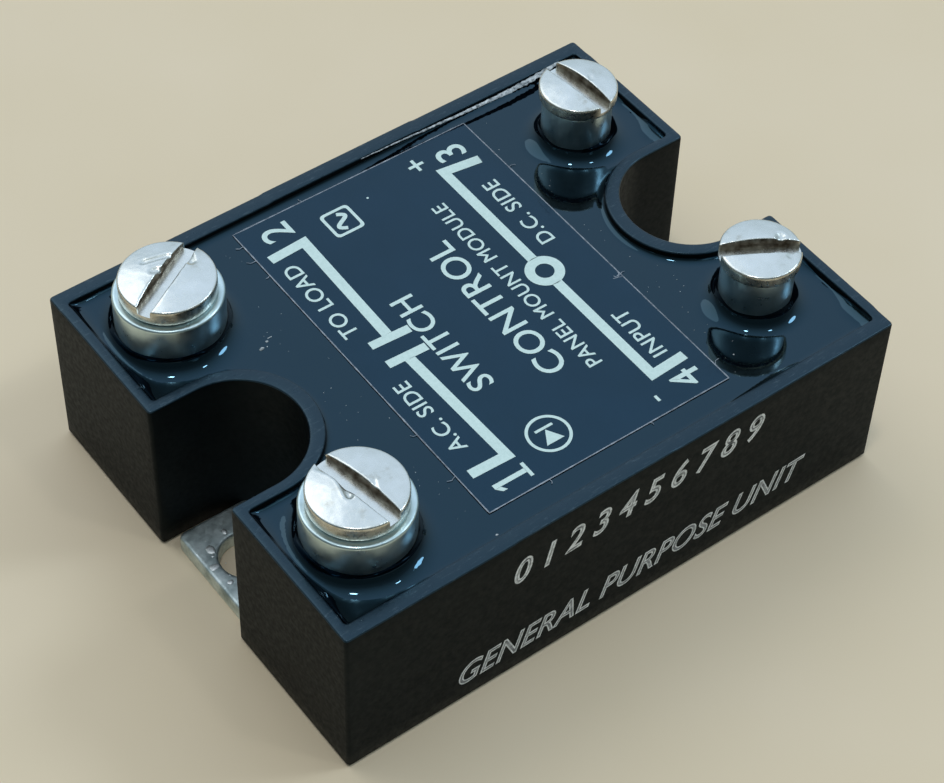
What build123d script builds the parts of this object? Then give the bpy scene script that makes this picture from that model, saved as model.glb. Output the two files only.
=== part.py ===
from build123d import *
import math
import os

# Solid state relay, panel-mounted "puck" style, in millimetres.
# Origin: centre of the mounting face (the underside of the base plate). +Z up.
# -X is the load end with terminals 1 (-Y) and 2 (+Y); +X is the control end with
# terminals 3 (+Y) and 4 (-Y).
#
# How it goes together: power chips are soldered on a ceramic insulator, which is soldered
# on the base plate. A circuit board above them carries the drive parts and the control
# posts. The housing is a frame dropped over the plate, filled with black epoxy from above,
# and the printed label film lies on the epoxy. Four screws close the terminal posts.

# ---------------------------------------------------------------- driving dimensions

# Housing: a frame with a U notch in each end
HOUSING_L = 57.15           # 2.25 in
HOUSING_W = 44.45           # 1.75 in
RIM_Z = 17.7
FOOT_Z = 0.1                # the frame stands this far above the mounting face
SIDE_WALL = 1.5
END_WALL = 1.05
CORNER_R = 0.35
INNER_CORNER_R = 0.3
RIM_EDGE = 0.2              # broken edge round the top
NOTCH_R = 6.07
NOTCH_X = 24.1              # centre of the notch's round end
NOTCH_OUTER_R = 7.1         # the wall round the notch, potting side
NOTCH_OUTER_X = 23.7

# Base plate: rectangle with a tongue into each notch
PLATE_T = 1.6
PLATE_SHOULDER_X = 18.9
PLATE_HALF_W = 20.5
TONGUE_END_X = 27.55
TONGUE_HALF_W = 5.25
TONGUE_CORNER_R = 0.8
PLATE_GAP = 0.15            # plate edge to housing
HOLE_R = 2.4
HOLE_X = 23.8               # 47.6 mm (1 7/8 in) between the mounting holes

# Potting and label
POTTING_Z = 16.8
MENISCUS_H = 1.45
MENISCUS_W = 0.95
LABEL_T = 0.1
LABEL_SIZE = (25.1, 37.95)
LABEL_AT = (1.10, 0.85)
LABEL_TURN = -0.46          # degrees, laid slightly askew

# Terminal posts and screws: load side #8-32, control side #6-32
LOAD_POST = {"r": 4.79, "x": -21.5, "y": 13.8, "foot_z": 6.2, "top_z": 21.44}
CONTROL_POST = {"r": 3.2, "x": 21.15, "y": 12.5, "foot_z": 9.6, "top_z": 21.76}
LOAD_SCREW = {"thread_r": 2.08, "shank": 9.5, "head_r": 4.2, "side_h": 1.65, "head_h": 2.1}
CONTROL_SCREW = {"thread_r": 1.75, "shank": 7.9, "head_r": 3.55, "side_h": 1.35, "head_h": 1.8}
HEAD_EDGE = 0.12            # broken edge between a head's side and its crown
TIP_CHAMFER = 0.4
THREAD_CLEARANCE = 0.05     # between the plain shank and the plain bore
BORE_SPARE = 1.2            # the bore goes on below the screw's tip
POST_EDGE = 0.25
GROOVE_W = 1.5              # grip groove round each post, deep in the epoxy
GROOVE_DEPTH = 0.5
SPIGOT_R = 1.6
SLOT_W = 1.15
SLOT_DEPTH = 1.1
SLOT_TURN = {1: -79.9, 2: 29.5, 3: -84.1, 4: -31.5}     # as the screws were left, degrees

# Power stack on the plate
CERAMIC = (20.0, 26.0, 0.635)
CERAMIC_X = -3.5
PAD_T = 0.3
PAD = (18.0, 11.3)
PAD_Y = 6.35
CHIP = (6.0, 6.0, 0.35)
CHIP_AT = (-7.0, -6.3)
CLIP_W = 3.6
CLIP_T = 0.5
CLIP_X = -6.1
CLIP_RISE = 1.2
CLIP_RUN = (-8.3, -3.9, 1.6, 3.6)       # y of the clip's end, rise, drop and other end
STRAP_T = 0.8
STRAP_W = 2.6
STRAP_INSET = 1.0                       # riser to the pad's end
STRAP_FOOT = 2.2
EAR_REACH = 4.2                         # from the post's centre
EAR_CORNER_R = 2.0

# Circuit board
BOARD_Z = 8.0
BOARD_T = 1.6
BOARD_X = (-12.0, 15.5)
BOARD_HALF_W = 16.0
EAR_X = 26.4
EAR_Y = (8.0, 18.6)
LEAD_R = 0.25
LEAD_HOLE_R = 0.45
LEAD_TAIL = 0.9             # lead ends under the board
GATE_AT = (-9.2, CHIP_AT[1])
PAD_LEAD_AT = (4.2, -3.5)
OPTO_AT = (8.0, 0.0)
OPTO_BODY = (8.6, 6.4, 3.4)
OPTO_PITCH = 2.54
OPTO_ROW = 3.81
CAPACITOR_AT = (-5.0, 11.6)
CAPACITOR_BODY = (12.0, 5.0, 5.6)
CAPACITOR_PITCH = 10.0
AXIAL_PARTS = {             # centre, angle, body radius, body length, lead pitch
    "snubber_resistor": ((-5.0, -11.5), 0, 1.7, 9.0, 12.7),
    "input_resistor": ((13.2, -9.6), 90, 1.15, 6.2, 8.9),
    "gate_resistor_1": ((-7.0, -4.6), 0, 0.9, 3.6, 6.0),
    "gate_resistor_2": ((-7.0, 4.6), 0, 0.9, 3.6, 6.0),
    "input_diode": ((13.2, 9.6), 90, 1.1, 4.2, 8.9),
}
TRANSISTOR_AT = (8.0, -9.8)
TRANSISTOR_BODY = {"r": 2.3, "h": 4.6, "flat": 1.3, "lead_pitch": 1.27, "stand_off": 1.0}

# ---------------------------------------------------------------- worked-out levels

CERAMIC_Z = PLATE_T
PAD_Z = CERAMIC_Z + CERAMIC[2]
CHIP_Z = PAD_Z + PAD_T
CHIP_TOP = CHIP_Z + CHIP[2]
BOARD_TOP = BOARD_Z + BOARD_T
LABEL_Z = POTTING_Z

UP = Align.CENTER, Align.CENTER, Align.MIN
ENDS = (-1, 1)


def block(x_range, y_range, z_range):
    """A box given by its ranges."""
    size = [b - a for a, b in (x_range, y_range, z_range)]
    middle = [(a + b) / 2 for a, b in (x_range, y_range, z_range)]
    return Pos(*middle) * Box(*size)


def slab(sketch, z_low, z_high):
    """A flat sketch raised between two levels."""
    return Pos(0, 0, z_low) * extrude(sketch, z_high - z_low)


def bent_strip(points, y_range, thickness):
    """Sheet metal bent along points (x, z), on the left of the line, and as wide as y_range."""
    line = Polyline(*[(x, z) for x, z in points])
    section = make_face(offset(line, amount=thickness, side=Side.LEFT, kind=Kind.INTERSECTION))
    standing = Plane(origin=(0, y_range[0], 0), x_dir=(1, 0, 0), z_dir=(0, -1, 0))
    return extrude(standing * section, -(y_range[1] - y_range[0]))


def wire(points, radius, bend):
    """Round wire along points with rounded corners."""
    path = FilletPolyline(*points, radius=bend)
    return sweep(Plane(origin=path @ 0, z_dir=path % 0) * Circle(radius), path=path)


# ---------------------------------------------------------------- housing and plate

def notch_sketch(radius, centre_x):
    """A U-shaped notch outline at both ends."""
    reach = HOUSING_L - centre_x
    shape = Sketch()
    for end in ENDS:
        mouth = Pos(end * (centre_x + reach / 2), 0) * Rectangle(reach, 2 * radius)
        shape += Pos(end * centre_x, 0) * Circle(radius) + mouth
    return shape


def cavity_sketch():
    """The space inside the frame, between the outer walls and the notch walls."""
    inside = RectangleRounded(HOUSING_L - 2 * END_WALL, HOUSING_W - 2 * SIDE_WALL, INNER_CORNER_R)
    return inside - notch_sketch(NOTCH_OUTER_R, NOTCH_OUTER_X)


def plate_sketch(gap=0.0):
    main = Rectangle(2 * (PLATE_SHOULDER_X + gap), 2 * (PLATE_HALF_W + gap))
    tongues = RectangleRounded(2 * (TONGUE_END_X + gap), 2 * (TONGUE_HALF_W + gap), TONGUE_CORNER_R)
    return main + tongues


def make_housing():
    """Moulded frame: outer walls, notch walls and a floor in each corner round the plate."""
    frame = slab(RectangleRounded(HOUSING_L, HOUSING_W, CORNER_R), FOOT_Z, RIM_Z)
    frame = chamfer(frame.faces().sort_by(Axis.Z)[-1].edges(), RIM_EDGE)
    frame -= slab(cavity_sketch(), PLATE_T, RIM_Z + 1)
    frame -= slab(notch_sketch(NOTCH_R, NOTCH_X), 0, RIM_Z + 1)
    return frame - slab(plate_sketch(PLATE_GAP), 0, PLATE_T)


def make_base_plate():
    """Plated metal plate that carries the heat to the panel, with two mounting holes."""
    holes = Sketch() + [Pos(end * HOLE_X, 0) * Circle(HOLE_R) for end in ENDS]
    return slab(plate_sketch() - holes, 0, PLATE_T)


# ---------------------------------------------------------------- terminals

def make_bore(post, screw):
    """The threaded blind hole as a plain cylinder, on the post's own axis."""
    depth = screw["shank"] + BORE_SPARE
    return Pos(0, 0, post["top_z"] - depth) * Cylinder(screw["thread_r"] + THREAD_CLEARANCE, depth, align=UP)


def make_post_body(post, screw):
    """Turned post with a blind hole from the top and a grip groove for the epoxy."""
    r, foot, top = post["r"], post["foot_z"], post["top_z"]
    height = top - foot
    body = Pos(0, 0, foot) * Cylinder(r, height, align=UP)
    body = fillet(body.edges().sort_by(Axis.Z)[-1], POST_EDGE)
    ring = Cylinder(r + 1, GROOVE_W, align=UP) - Cylinder(r - GROOVE_DEPTH, GROOVE_W, align=UP)
    groove = Pos(0, 0, foot + height * 0.3) * ring
    return body - groove - make_bore(post, screw)


def make_screw(post, screw, turn):
    """Slotted pan-head machine screw seated on its post; the thread is a plain shank."""
    head_r, side_h, head_h, seat = screw["head_r"], screw["side_h"], screw["head_h"], post["top_z"]
    crown_r = head_r - HEAD_EDGE
    outline = Polyline((0, head_h), (0, 0), (head_r, 0), (head_r, side_h - HEAD_EDGE), (crown_r, side_h))
    dome = ThreePointArc((crown_r, side_h), (crown_r / 2, side_h + (head_h - side_h) * 0.76), (0, head_h))
    head = revolve(Plane.XZ * make_face(outline + dome), Axis.Z)
    slot = Rot(0, 0, turn) * Pos(0, 0, head_h - SLOT_DEPTH) * Box(3 * head_r, SLOT_W, head_h, align=UP)
    shank = Pos(0, 0, -screw["shank"]) * Cylinder(screw["thread_r"], screw["shank"], align=UP)
    shank = chamfer(shank.edges().sort_by(Axis.Z)[0], TIP_CHAMFER)
    return Pos(post["x"], post["y"], seat) * (head - slot + shank)


def placed(post, side):
    """The same post data moved to the -Y (side -1) or +Y (side 1) corner."""
    return {**post, "y": side * abs(post["y"])}


TERMINALS = {
    1: (placed(LOAD_POST, -1), LOAD_SCREW),
    2: (placed(LOAD_POST, 1), LOAD_SCREW),
    3: (placed(CONTROL_POST, 1), CONTROL_SCREW),
    4: (placed(CONTROL_POST, -1), CONTROL_SCREW),
}


def make_post(post, screw):
    """A post in its corner, with the spigot staked in its strap or in the circuit board."""
    deep = STRAP_T if post["x"] < 0 else BOARD_T + 0.5
    spigot = Pos(0, 0, post["foot_z"] - deep) * Cylinder(SPIGOT_R, deep, align=UP)
    return Pos(post["x"], post["y"], 0) * (make_post_body(post, screw) + spigot)


# ---------------------------------------------------------------- power stack

def half_turn(shape):
    """Second of a pair: the first one turned half round about the ceramic's centre."""
    return Pos(CERAMIC_X, 0, 0) * Rot(0, 0, 180) * Pos(-CERAMIC_X, 0, 0) * shape


def make_ceramic():
    return Pos(CERAMIC_X, 0, CERAMIC_Z) * Box(*CERAMIC, align=UP)


def make_pad():
    return Pos(CERAMIC_X, -PAD_Y, PAD_Z) * Box(*PAD, PAD_T, align=UP)


def make_chip():
    return Pos(*CHIP_AT, CHIP_Z) * Box(*CHIP, align=UP)


def make_clip():
    """Clip from the chip's top to the other chip's pad, bent up between them."""
    rise_z, foot_z = CHIP_TOP + CLIP_RISE, CHIP_Z
    near, up, down, far = CLIP_RUN
    steps = [(near, CHIP_TOP), (up, CHIP_TOP), (up, rise_z), (down, rise_z), (down, foot_z), (far, foot_z)]
    strip = bent_strip(steps, (CLIP_X - CLIP_W / 2, CLIP_X + CLIP_W / 2), CLIP_T)
    return mirror(Rot(0, 0, 90) * strip, Plane.YZ)


def make_strap(side):
    """Copper strap from a pad up to the load post's spigot."""
    post = LOAD_POST
    ear_z = post["foot_z"] - STRAP_T
    riser_x = CERAMIC_X - PAD[0] / 2 + STRAP_INSET
    near_y, far_y = PAD_Y + PAD[1] / 2 - STRAP_W, post["y"] + EAR_REACH
    tab_x = riser_x - STRAP_W
    profile = [(riser_x + STRAP_FOOT, CHIP_Z), (riser_x, CHIP_Z), (riser_x, ear_z), (tab_x, ear_z)]
    riser = bent_strip(list(reversed(profile)), (near_y, near_y + STRAP_W), STRAP_T)
    ear = block((post["x"] - EAR_REACH, tab_x + STRAP_T), (near_y, far_y), (ear_z, ear_z + STRAP_T))
    ear = fillet(ear.edges().filter_by(Axis.Z).group_by(Axis.X)[0], EAR_CORNER_R)
    hole = Pos(post["x"], post["y"], ear_z) * Cylinder(SPIGOT_R, 4 * STRAP_T)
    strap = riser + ear - hole
    return strap if side > 0 else mirror(strap, Plane.XZ)


# ---------------------------------------------------------------- circuit board and its parts

def board_lead(x, y, top_z, radius=LEAD_R):
    """Straight lead down through the board."""
    low = BOARD_Z - LEAD_TAIL
    return Pos(x, y, low) * Cylinder(radius, top_z - low, align=UP)


def make_axial_part(centre, angle, radius, length, pitch):
    """Resistor or diode lying on the board, with two bent leads through it."""
    axis_z = BOARD_TOP + radius + 0.2
    low = BOARD_Z - LEAD_TAIL
    body = Rot(0, 90, 0) * Cylinder(radius, length)
    body = chamfer(body.edges().filter_by(GeomType.CIRCLE), radius * 0.3)
    ends = [(-pitch / 2, 0, low - axis_z), (-pitch / 2, 0, 0), (pitch / 2, 0, 0), (pitch / 2, 0, low - axis_z)]
    leads = wire(ends, LEAD_R, 0.6)
    return Pos(*centre, axis_z) * Rot(0, 0, angle) * (body + leads)


def axial_lead_places(centre, angle, pitch):
    turn = math.radians(angle)
    reach = (pitch / 2 * math.cos(turn), pitch / 2 * math.sin(turn))
    return [(centre[0] + s * reach[0], centre[1] + s * reach[1]) for s in ENDS]


def make_opto_body():
    body = Pos(*OPTO_AT, BOARD_TOP + 0.6) * Box(*OPTO_BODY, align=UP)
    return chamfer(body.edges().filter_by(Axis.Z), 0.3)


def opto_lead_places():
    return [(OPTO_AT[0] + i * OPTO_PITCH, OPTO_AT[1] + s * OPTO_ROW) for s in ENDS for i in (-1, 0, 1)]


def make_opto_leads():
    """Six flat leads, each out of the body's side and down through the board."""
    out_z = BOARD_TOP + 0.6 + OPTO_BODY[2] / 2
    low = BOARD_Z - LEAD_TAIL
    leads = []
    for x, y in opto_lead_places():
        side = 1 if y > OPTO_AT[1] else -1
        body_face = OPTO_AT[1] + side * OPTO_BODY[1] / 2
        edges = sorted((body_face, y + side * 0.13))
        arm = block((x - 0.25, x + 0.25), edges, (out_z - 0.13, out_z + 0.13))
        leg = block((x - 0.25, x + 0.25), (y - 0.13, y + 0.13), (low, out_z + 0.13))
        leads.append((arm + leg).solid())
    return Compound(children=leads)


def capacitor_lead_places():
    return [(CAPACITOR_AT[0] + s * CAPACITOR_PITCH / 2, CAPACITOR_AT[1]) for s in ENDS]


def make_capacitor():
    """Boxed film capacitor on two leads."""
    body = Pos(*CAPACITOR_AT, BOARD_TOP + 0.3) * Box(*CAPACITOR_BODY, align=UP)
    body = chamfer(body.edges().filter_by(Axis.Z), 0.4)
    for x, y in capacitor_lead_places():
        body += board_lead(x, y, BOARD_TOP + 0.5)
    return body


def transistor_lead_places():
    return [(TRANSISTOR_AT[0] + i * TRANSISTOR_BODY["lead_pitch"], TRANSISTOR_AT[1]) for i in (-1, 0, 1)]


def make_transistor():
    """Small plastic transistor with a flat front and three leads in line."""
    r, height, flat = TRANSISTOR_BODY["r"], TRANSISTOR_BODY["h"], TRANSISTOR_BODY["flat"]
    x, y = TRANSISTOR_AT
    low_z = BOARD_TOP + TRANSISTOR_BODY["stand_off"]
    body = Pos(x, y, low_z) * Cylinder(r, height, align=UP)
    body -= block((x - r, x + r), (y - 2 * r, y - flat), (low_z, low_z + height))
    for x, y in transistor_lead_places():
        body += board_lead(x, y, low_z + 0.2)
    return body


def make_gate_lead():
    """Wire from the first chip's gate up through the board."""
    return Pos(*GATE_AT, CHIP_TOP) * Cylinder(LEAD_R, BOARD_TOP + 0.6 - CHIP_TOP, align=UP)


def make_pad_lead():
    """Wire from the first pad up through the board."""
    return Pos(*PAD_LEAD_AT, CHIP_Z) * Cylinder(LEAD_R * 1.6, BOARD_TOP + 0.6 - CHIP_Z, align=UP)


def turned_place(place):
    return (2 * CERAMIC_X - place[0], -place[1])


def make_board():
    """Glass-epoxy board: middle part over the chips, and an ear to each control post."""
    x_low, x_high = BOARD_X
    board = block(BOARD_X, (-BOARD_HALF_W, BOARD_HALF_W), (BOARD_Z, BOARD_TOP))
    for side in ENDS:
        near, far = sorted((side * EAR_Y[0], side * EAR_Y[1]))
        board += block((x_high - 3, EAR_X), (near, far), (BOARD_Z, BOARD_TOP))
        post_at = Pos(CONTROL_POST["x"], side * CONTROL_POST["y"], BOARD_Z)
        board -= post_at * Cylinder(SPIGOT_R, 3 * BOARD_T)
    places = opto_lead_places() + capacitor_lead_places() + transistor_lead_places()
    for centre, angle, radius, length, pitch in AXIAL_PARTS.values():
        places += axial_lead_places(centre, angle, pitch)
    for place in (GATE_AT, PAD_LEAD_AT):
        places += [place, turned_place(place)]
    for x, y in places:
        board -= Pos(x, y, BOARD_Z) * Cylinder(LEAD_HOLE_R, 3 * BOARD_T)
    return board


# ---------------------------------------------------------------- potting and label

def meniscus(post):
    """Epoxy drawn up round a post, with a hollow flank."""
    r, low = post["r"], POTTING_Z
    foot, tip = (r + MENISCUS_W, low), (r, low + MENISCUS_H)
    flank = TangentArc(tip, foot, tangent=(0, -1))
    section = make_face(flank + Polyline(tip, (r - 1, low + MENISCUS_H), (r - 1, low), foot))
    return Pos(post["x"], post["y"], 0) * revolve(Plane.XZ * section, Axis.Z)


def make_potting(inner_parts):
    """Epoxy that fills the frame round everything inside it."""
    fill = slab(cavity_sketch(), PLATE_T, POTTING_Z)
    for post, _ in TERMINALS.values():
        fill += meniscus(post)
    for shape in inner_parts:
        fill -= shape
    return fill


def make_label():
    film = Rot(0, 0, LABEL_TURN) * Box(*LABEL_SIZE, LABEL_T, align=UP)
    return Pos(*LABEL_AT, LABEL_Z) * film


# ---------------------------------------------------------------- build all

os.makedirs("parts", exist_ok=True)

inside = {
    "ceramic_insulator": make_ceramic(),
    "copper_pad_1": make_pad(),
    "copper_pad_2": half_turn(make_pad()),
    "thyristor_chip_1": make_chip(),
    "thyristor_chip_2": half_turn(make_chip()),
    "cathode_clip_1": make_clip(),
    "cathode_clip_2": half_turn(make_clip()),
    "load_strap_1": make_strap(-1),
    "load_strap_2": make_strap(1),
    "gate_lead_1": make_gate_lead(),
    "gate_lead_2": half_turn(make_gate_lead()),
    "pad_lead_1": make_pad_lead(),
    "pad_lead_2": half_turn(make_pad_lead()),
    "circuit_board": make_board(),
    "opto_coupler": make_opto_body(),
    "opto_coupler_leads": make_opto_leads(),
    "snubber_capacitor": make_capacitor(),
    "drive_transistor": make_transistor(),
}
for name, part_data in AXIAL_PARTS.items():
    inside[name] = make_axial_part(*part_data)
for number, (post, screw) in TERMINALS.items():
    inside[f"terminal_post_{number}"] = make_post(post, screw)

nodes = dict(inside)
nodes["housing"] = make_housing()
nodes["base_plate"] = make_base_plate()
nodes["label_film"] = make_label()
bores = [Pos(post["x"], post["y"], 0) * make_bore(post, screw) for post, screw in TERMINALS.values()]
nodes["potting_compound"] = make_potting(list(inside.values()) + bores)
for number, (post, screw) in TERMINALS.items():
    nodes[f"terminal_screw_{number}"] = make_screw(post, screw, SLOT_TURN[number])

for name, shape in nodes.items():
    export_step(shape, f"parts/{name}.step")
print(len(nodes), "nodes")
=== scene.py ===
import math

import bmesh
import bpy
import numpy as np
from mathutils import Matrix, Vector, noise
from mathutils.geometry import delaunay_2d_cdt


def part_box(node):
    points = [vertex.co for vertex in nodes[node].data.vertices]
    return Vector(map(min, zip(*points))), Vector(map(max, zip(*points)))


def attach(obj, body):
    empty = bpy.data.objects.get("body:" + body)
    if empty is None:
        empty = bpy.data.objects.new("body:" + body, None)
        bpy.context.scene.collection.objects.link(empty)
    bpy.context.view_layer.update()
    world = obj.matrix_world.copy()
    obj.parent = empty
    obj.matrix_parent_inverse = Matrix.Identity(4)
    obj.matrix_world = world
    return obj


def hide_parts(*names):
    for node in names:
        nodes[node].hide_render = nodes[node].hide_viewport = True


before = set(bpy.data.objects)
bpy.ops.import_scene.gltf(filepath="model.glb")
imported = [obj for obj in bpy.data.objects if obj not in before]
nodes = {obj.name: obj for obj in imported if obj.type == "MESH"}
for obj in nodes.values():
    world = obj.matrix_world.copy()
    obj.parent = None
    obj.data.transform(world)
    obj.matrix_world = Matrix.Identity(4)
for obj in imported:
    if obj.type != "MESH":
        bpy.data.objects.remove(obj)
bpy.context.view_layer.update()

# ------------------------------------------------------------------ base plate
# Nickel-plated steel plate, punched from 1.6 mm sheet: a rectangle under the housing with a
# tongue and a mounting hole at each end. Punching leaves a rolled upper edge and a bright
# sheared band.

MM = 0.001                  # meshes are drawn in millimetres and shrunk once, when finished


def put(tree, kind, inputs=None, **settings):
    """A new node of that kind; inputs are wired if they are sockets and set if they are values."""
    node = tree.nodes.new(kind)
    for name, value in settings.items():
        setattr(node, name, value)
    for name, value in (inputs or {}).items():
        if isinstance(value, bpy.types.NodeSocket):
            tree.links.new(value, node.inputs[name])
        else:
            node.inputs[name].default_value = value
    return node


def new_finish(name, **sockets):
    """A material and its node tree, with constant values set on the shader's own sockets."""
    finish = bpy.data.materials.new(name)
    finish.use_nodes = True
    shader = finish.node_tree.nodes["Principled BSDF"]
    for socket, value in sockets.items():
        shader.inputs[socket.replace("_", " ")].default_value = value
    return finish


def wire_in(finish, socket, source):
    finish.node_tree.links.new(source, finish.node_tree.nodes["Principled BSDF"].inputs[socket])


def grain(finish, size_mm, detail=4.0, stretch=(1, 1, 1), rough=0.55):
    """Noise on the piece's own coordinates, with features of about size_mm; stretch lengthens them."""
    tree = finish.node_tree
    coords = put(tree, "ShaderNodeTexCoord").outputs["Object"]
    scale = [1.0 / s for s in stretch]
    coords = put(tree, "ShaderNodeMapping", {"Vector": coords, "Scale": scale}).outputs["Vector"]
    inputs = {"Vector": coords, "Scale": 1.0 / (size_mm * MM), "Detail": detail, "Roughness": rough}
    return put(tree, "ShaderNodeTexNoise", inputs).outputs["Fac"]


def graded(finish, factor, *stops):
    """Colour ramp; each stop is a place from 0 to 1 and a colour or a grey level."""
    node = put(finish.node_tree, "ShaderNodeValToRGB", {"Fac": factor})
    ramp = node.color_ramp
    while len(ramp.elements) < len(stops):
        ramp.elements.new(0.5)
    for element, (place, shade) in zip(ramp.elements, stops):
        element.position = place
        element.color = (*shade, 1.0) if isinstance(shade, tuple) else (shade, shade, shade, 1.0)
    return node.outputs["Color"]


def blended(finish, factor, first, second):
    """Colour first where factor is 0 and second where it is 1."""
    mix = put(finish.node_tree, "ShaderNodeMix", data_type="RGBA")
    for index, value in ((0, factor), (6, first), (7, second)):
        if isinstance(value, bpy.types.NodeSocket):
            finish.node_tree.links.new(value, mix.inputs[index])
        else:
            mix.inputs[index].default_value = (*value, 1.0) if isinstance(value, tuple) else value
    return mix.outputs[2]


def rough_up(finish, *layers):
    """Bump from one or more (height source, depth in mm) layers."""
    normal = None
    for height, depth in layers:
        inputs = {"Height": height, "Distance": depth * MM, "Strength": 1.0}
        if normal is not None:
            inputs["Normal"] = normal
        normal = put(finish.node_tree, "ShaderNodeBump", inputs).outputs["Normal"]
    wire_in(finish, "Normal", normal)


def dressed(finish, colour, roughness, *bumps):
    """The finish with its colour, its gloss and its bump layers wired in."""
    wire_in(finish, "Base Color", colour)
    wire_in(finish, "Roughness", roughness)
    rough_up(finish, *bumps)
    return finish


def plated_sheet():
    finish = new_finish("plated_sheet", Metallic=1.0)
    stain = graded(finish, grain(finish, 1.6, 8.0), (0.3, (0.30, 0.37, 0.37)), (0.5, (0.58, 0.66, 0.66)),
                   (0.72, (0.82, 0.90, 0.90)))
    gloss = graded(finish, grain(finish, 0.5, 8.0), (0.3, 0.42), (0.7, 0.62))
    drawn = grain(finish, 0.12, 3.0, stretch=(14, 1, 1))
    return dressed(finish, stain, gloss, (drawn, 0.003), (grain(finish, 0.5, 5.0), 0.02))


def arc(centre, radius, start, end, steps):
    """Points on an arc, angles in degrees, both ends included."""
    angles = np.radians(np.linspace(start, end, steps + 1))
    return [(centre[0] + radius * math.cos(a), centre[1] + radius * math.sin(a)) for a in angles]


def rounded(corners, radius, steps=4):
    """Outline through corners, each one rounded; corners run anticlockwise."""
    outline = []
    for before, corner, after in zip(corners[-1:] + corners[:-1], corners, corners[1:] + corners[:1]):
        here = Vector(corner)
        back, ahead = (Vector(before) - here).normalized(), (Vector(after) - here).normalized()
        for step in range(steps + 1):
            t = step / steps
            curve = here + back * radius * (1 - t) ** 2 + ahead * radius * t ** 2
            outline.append((curve.x, curve.y))
    return outline


def inside(points, outline):
    """For each point, whether it lies inside the outline."""
    points, loop = np.asarray(points, float), np.asarray(outline, float)
    after = np.roll(loop, -1, axis=0)
    hit = np.zeros(len(points), bool)
    for (x0, y0), (x1, y1) in zip(loop, after):
        if y0 != y1:
            crosses = (y0 > points[:, 1]) != (y1 > points[:, 1])
            hit ^= crosses & (points[:, 0] < (x1 - x0) * (points[:, 1] - y0) / (y1 - y0) + x0)
    return hit


def sheet_between(outline, holes=(), more_points=()):
    """Flat triangles inside the outline and outside the holes: 2-D points and faces."""
    points, edges = [], []
    for loop in [outline, *holes]:
        first = len(points)
        points += [Vector(p) for p in loop]
        edges += [(first + i, first + (i + 1) % len(loop)) for i in range(len(loop))]
    points += [Vector(p) for p in more_points]
    flat, _, faces, *_ = delaunay_2d_cdt(points, edges, [], 0, 1e-6)
    flat = np.array([(p.x, p.y) for p in flat])
    middles = np.array([flat[list(face)].mean(axis=0) for face in faces])
    keep = inside(middles, outline)
    for hole in holes:
        keep &= ~inside(middles, hole)
    return flat, [face for face, kept in zip(faces, keep) if kept]


def new_piece(name, mesh, finish, stands_for=(), body="relay_body"):
    """Finishes a mesh drawn in millimetres as a named piece of the relay."""
    mesh.transform(Matrix.Scale(MM, 4))
    mesh.name = name
    mesh.materials.clear()
    mesh.materials.append(finish)
    piece = bpy.data.objects.new(name, mesh)
    bpy.context.scene.collection.objects.link(piece)
    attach(piece, body)
    if stands_for:
        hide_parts(*stands_for)
    return piece


def mesh_from(work, smooth_angle=35.0):
    """A mesh from a bmesh, doubles merged, normals outwards, sharp edges kept crisp."""
    bmesh.ops.remove_doubles(work, verts=work.verts, dist=1e-4)
    bmesh.ops.recalc_face_normals(work, faces=work.faces)
    for face in work.faces:
        face.smooth = True
    limit = math.radians(smooth_angle)
    for edge in work.edges:
        edge.smooth = len(edge.link_faces) == 2 and edge.calc_face_angle(0.0) < limit
    mesh = bpy.data.meshes.new("drawn")
    work.to_mesh(mesh)
    work.free()
    return mesh


def add_sheet(work, points, faces):
    """Faces on new (x, y, z) points."""
    verts = [work.verts.new(point) for point in points]
    for face in faces:
        work.faces.new([verts[i] for i in face])


def add_lofted(work, loops):
    """Quads between successive closed loops of (x, y, z) points with equal counts."""
    rings = [[work.verts.new(p) for p in loop] for loop in loops]
    for lower, upper in zip(rings, rings[1:]):
        for i in range(len(lower)):
            j = (i + 1) % len(lower)
            work.faces.new((lower[i], lower[j], upper[j], upper[i]))
    return rings


def at_height(outline, z):
    return [(x, y, z) for x, y in outline]


PLATE_T = 1.6
SHOULDER_X, PLATE_HALF_W = 18.9, 20.5
TONGUE_X, TONGUE_HALF_W, TONGUE_CORNER = 27.55, 5.25, 0.8
HOLE_X, HOLE_R = 23.8, 2.4


def plate_outline(inset):
    """The plate's edge, drawn in by inset."""
    sx, sy = SHOULDER_X - inset, PLATE_HALF_W - inset
    tx, ty = TONGUE_X - inset, TONGUE_HALF_W - inset
    corners = [(-sx, -sy), (sx, -sy), (sx, -ty), (tx, -ty), (tx, ty), (sx, ty),
               (sx, sy), (-sx, sy), (-sx, ty), (-tx, ty), (-tx, -ty), (-sx, -ty)]
    return rounded(corners, TONGUE_CORNER, 6)


def hole_outline(side, grow):
    """A mounting hole's edge, opened up by grow."""
    return arc((side * HOLE_X, 0), HOLE_R + grow, 360, 0, 40)[:-1]


# The punched edge from the bottom up: height, and how far it is drawn in
PUNCHED_EDGE = [(0.0, 0.06), (0.05, 0.0), (PLATE_T - 0.34, 0.0), (PLATE_T - 0.18, 0.03),
                (PLATE_T - 0.08, 0.1), (PLATE_T - 0.02, 0.2), (PLATE_T, 0.36)]
plate = bmesh.new()
add_lofted(plate, [at_height(plate_outline(inset), z) for z, inset in PUNCHED_EDGE])
for side in (-1, 1):
    add_lofted(plate, [at_height(hole_outline(side, inset), z) for z, inset in PUNCHED_EDGE])
for z, inset in (PUNCHED_EDGE[0], PUNCHED_EDGE[-1]):
    flat, faces = sheet_between(plate_outline(inset), [hole_outline(side, inset) for side in (-1, 1)])
    add_sheet(plate, at_height(flat, z), faces)
new_piece("base_plate_punched", mesh_from(plate, 50), plated_sheet(), ["base_plate"])

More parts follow.
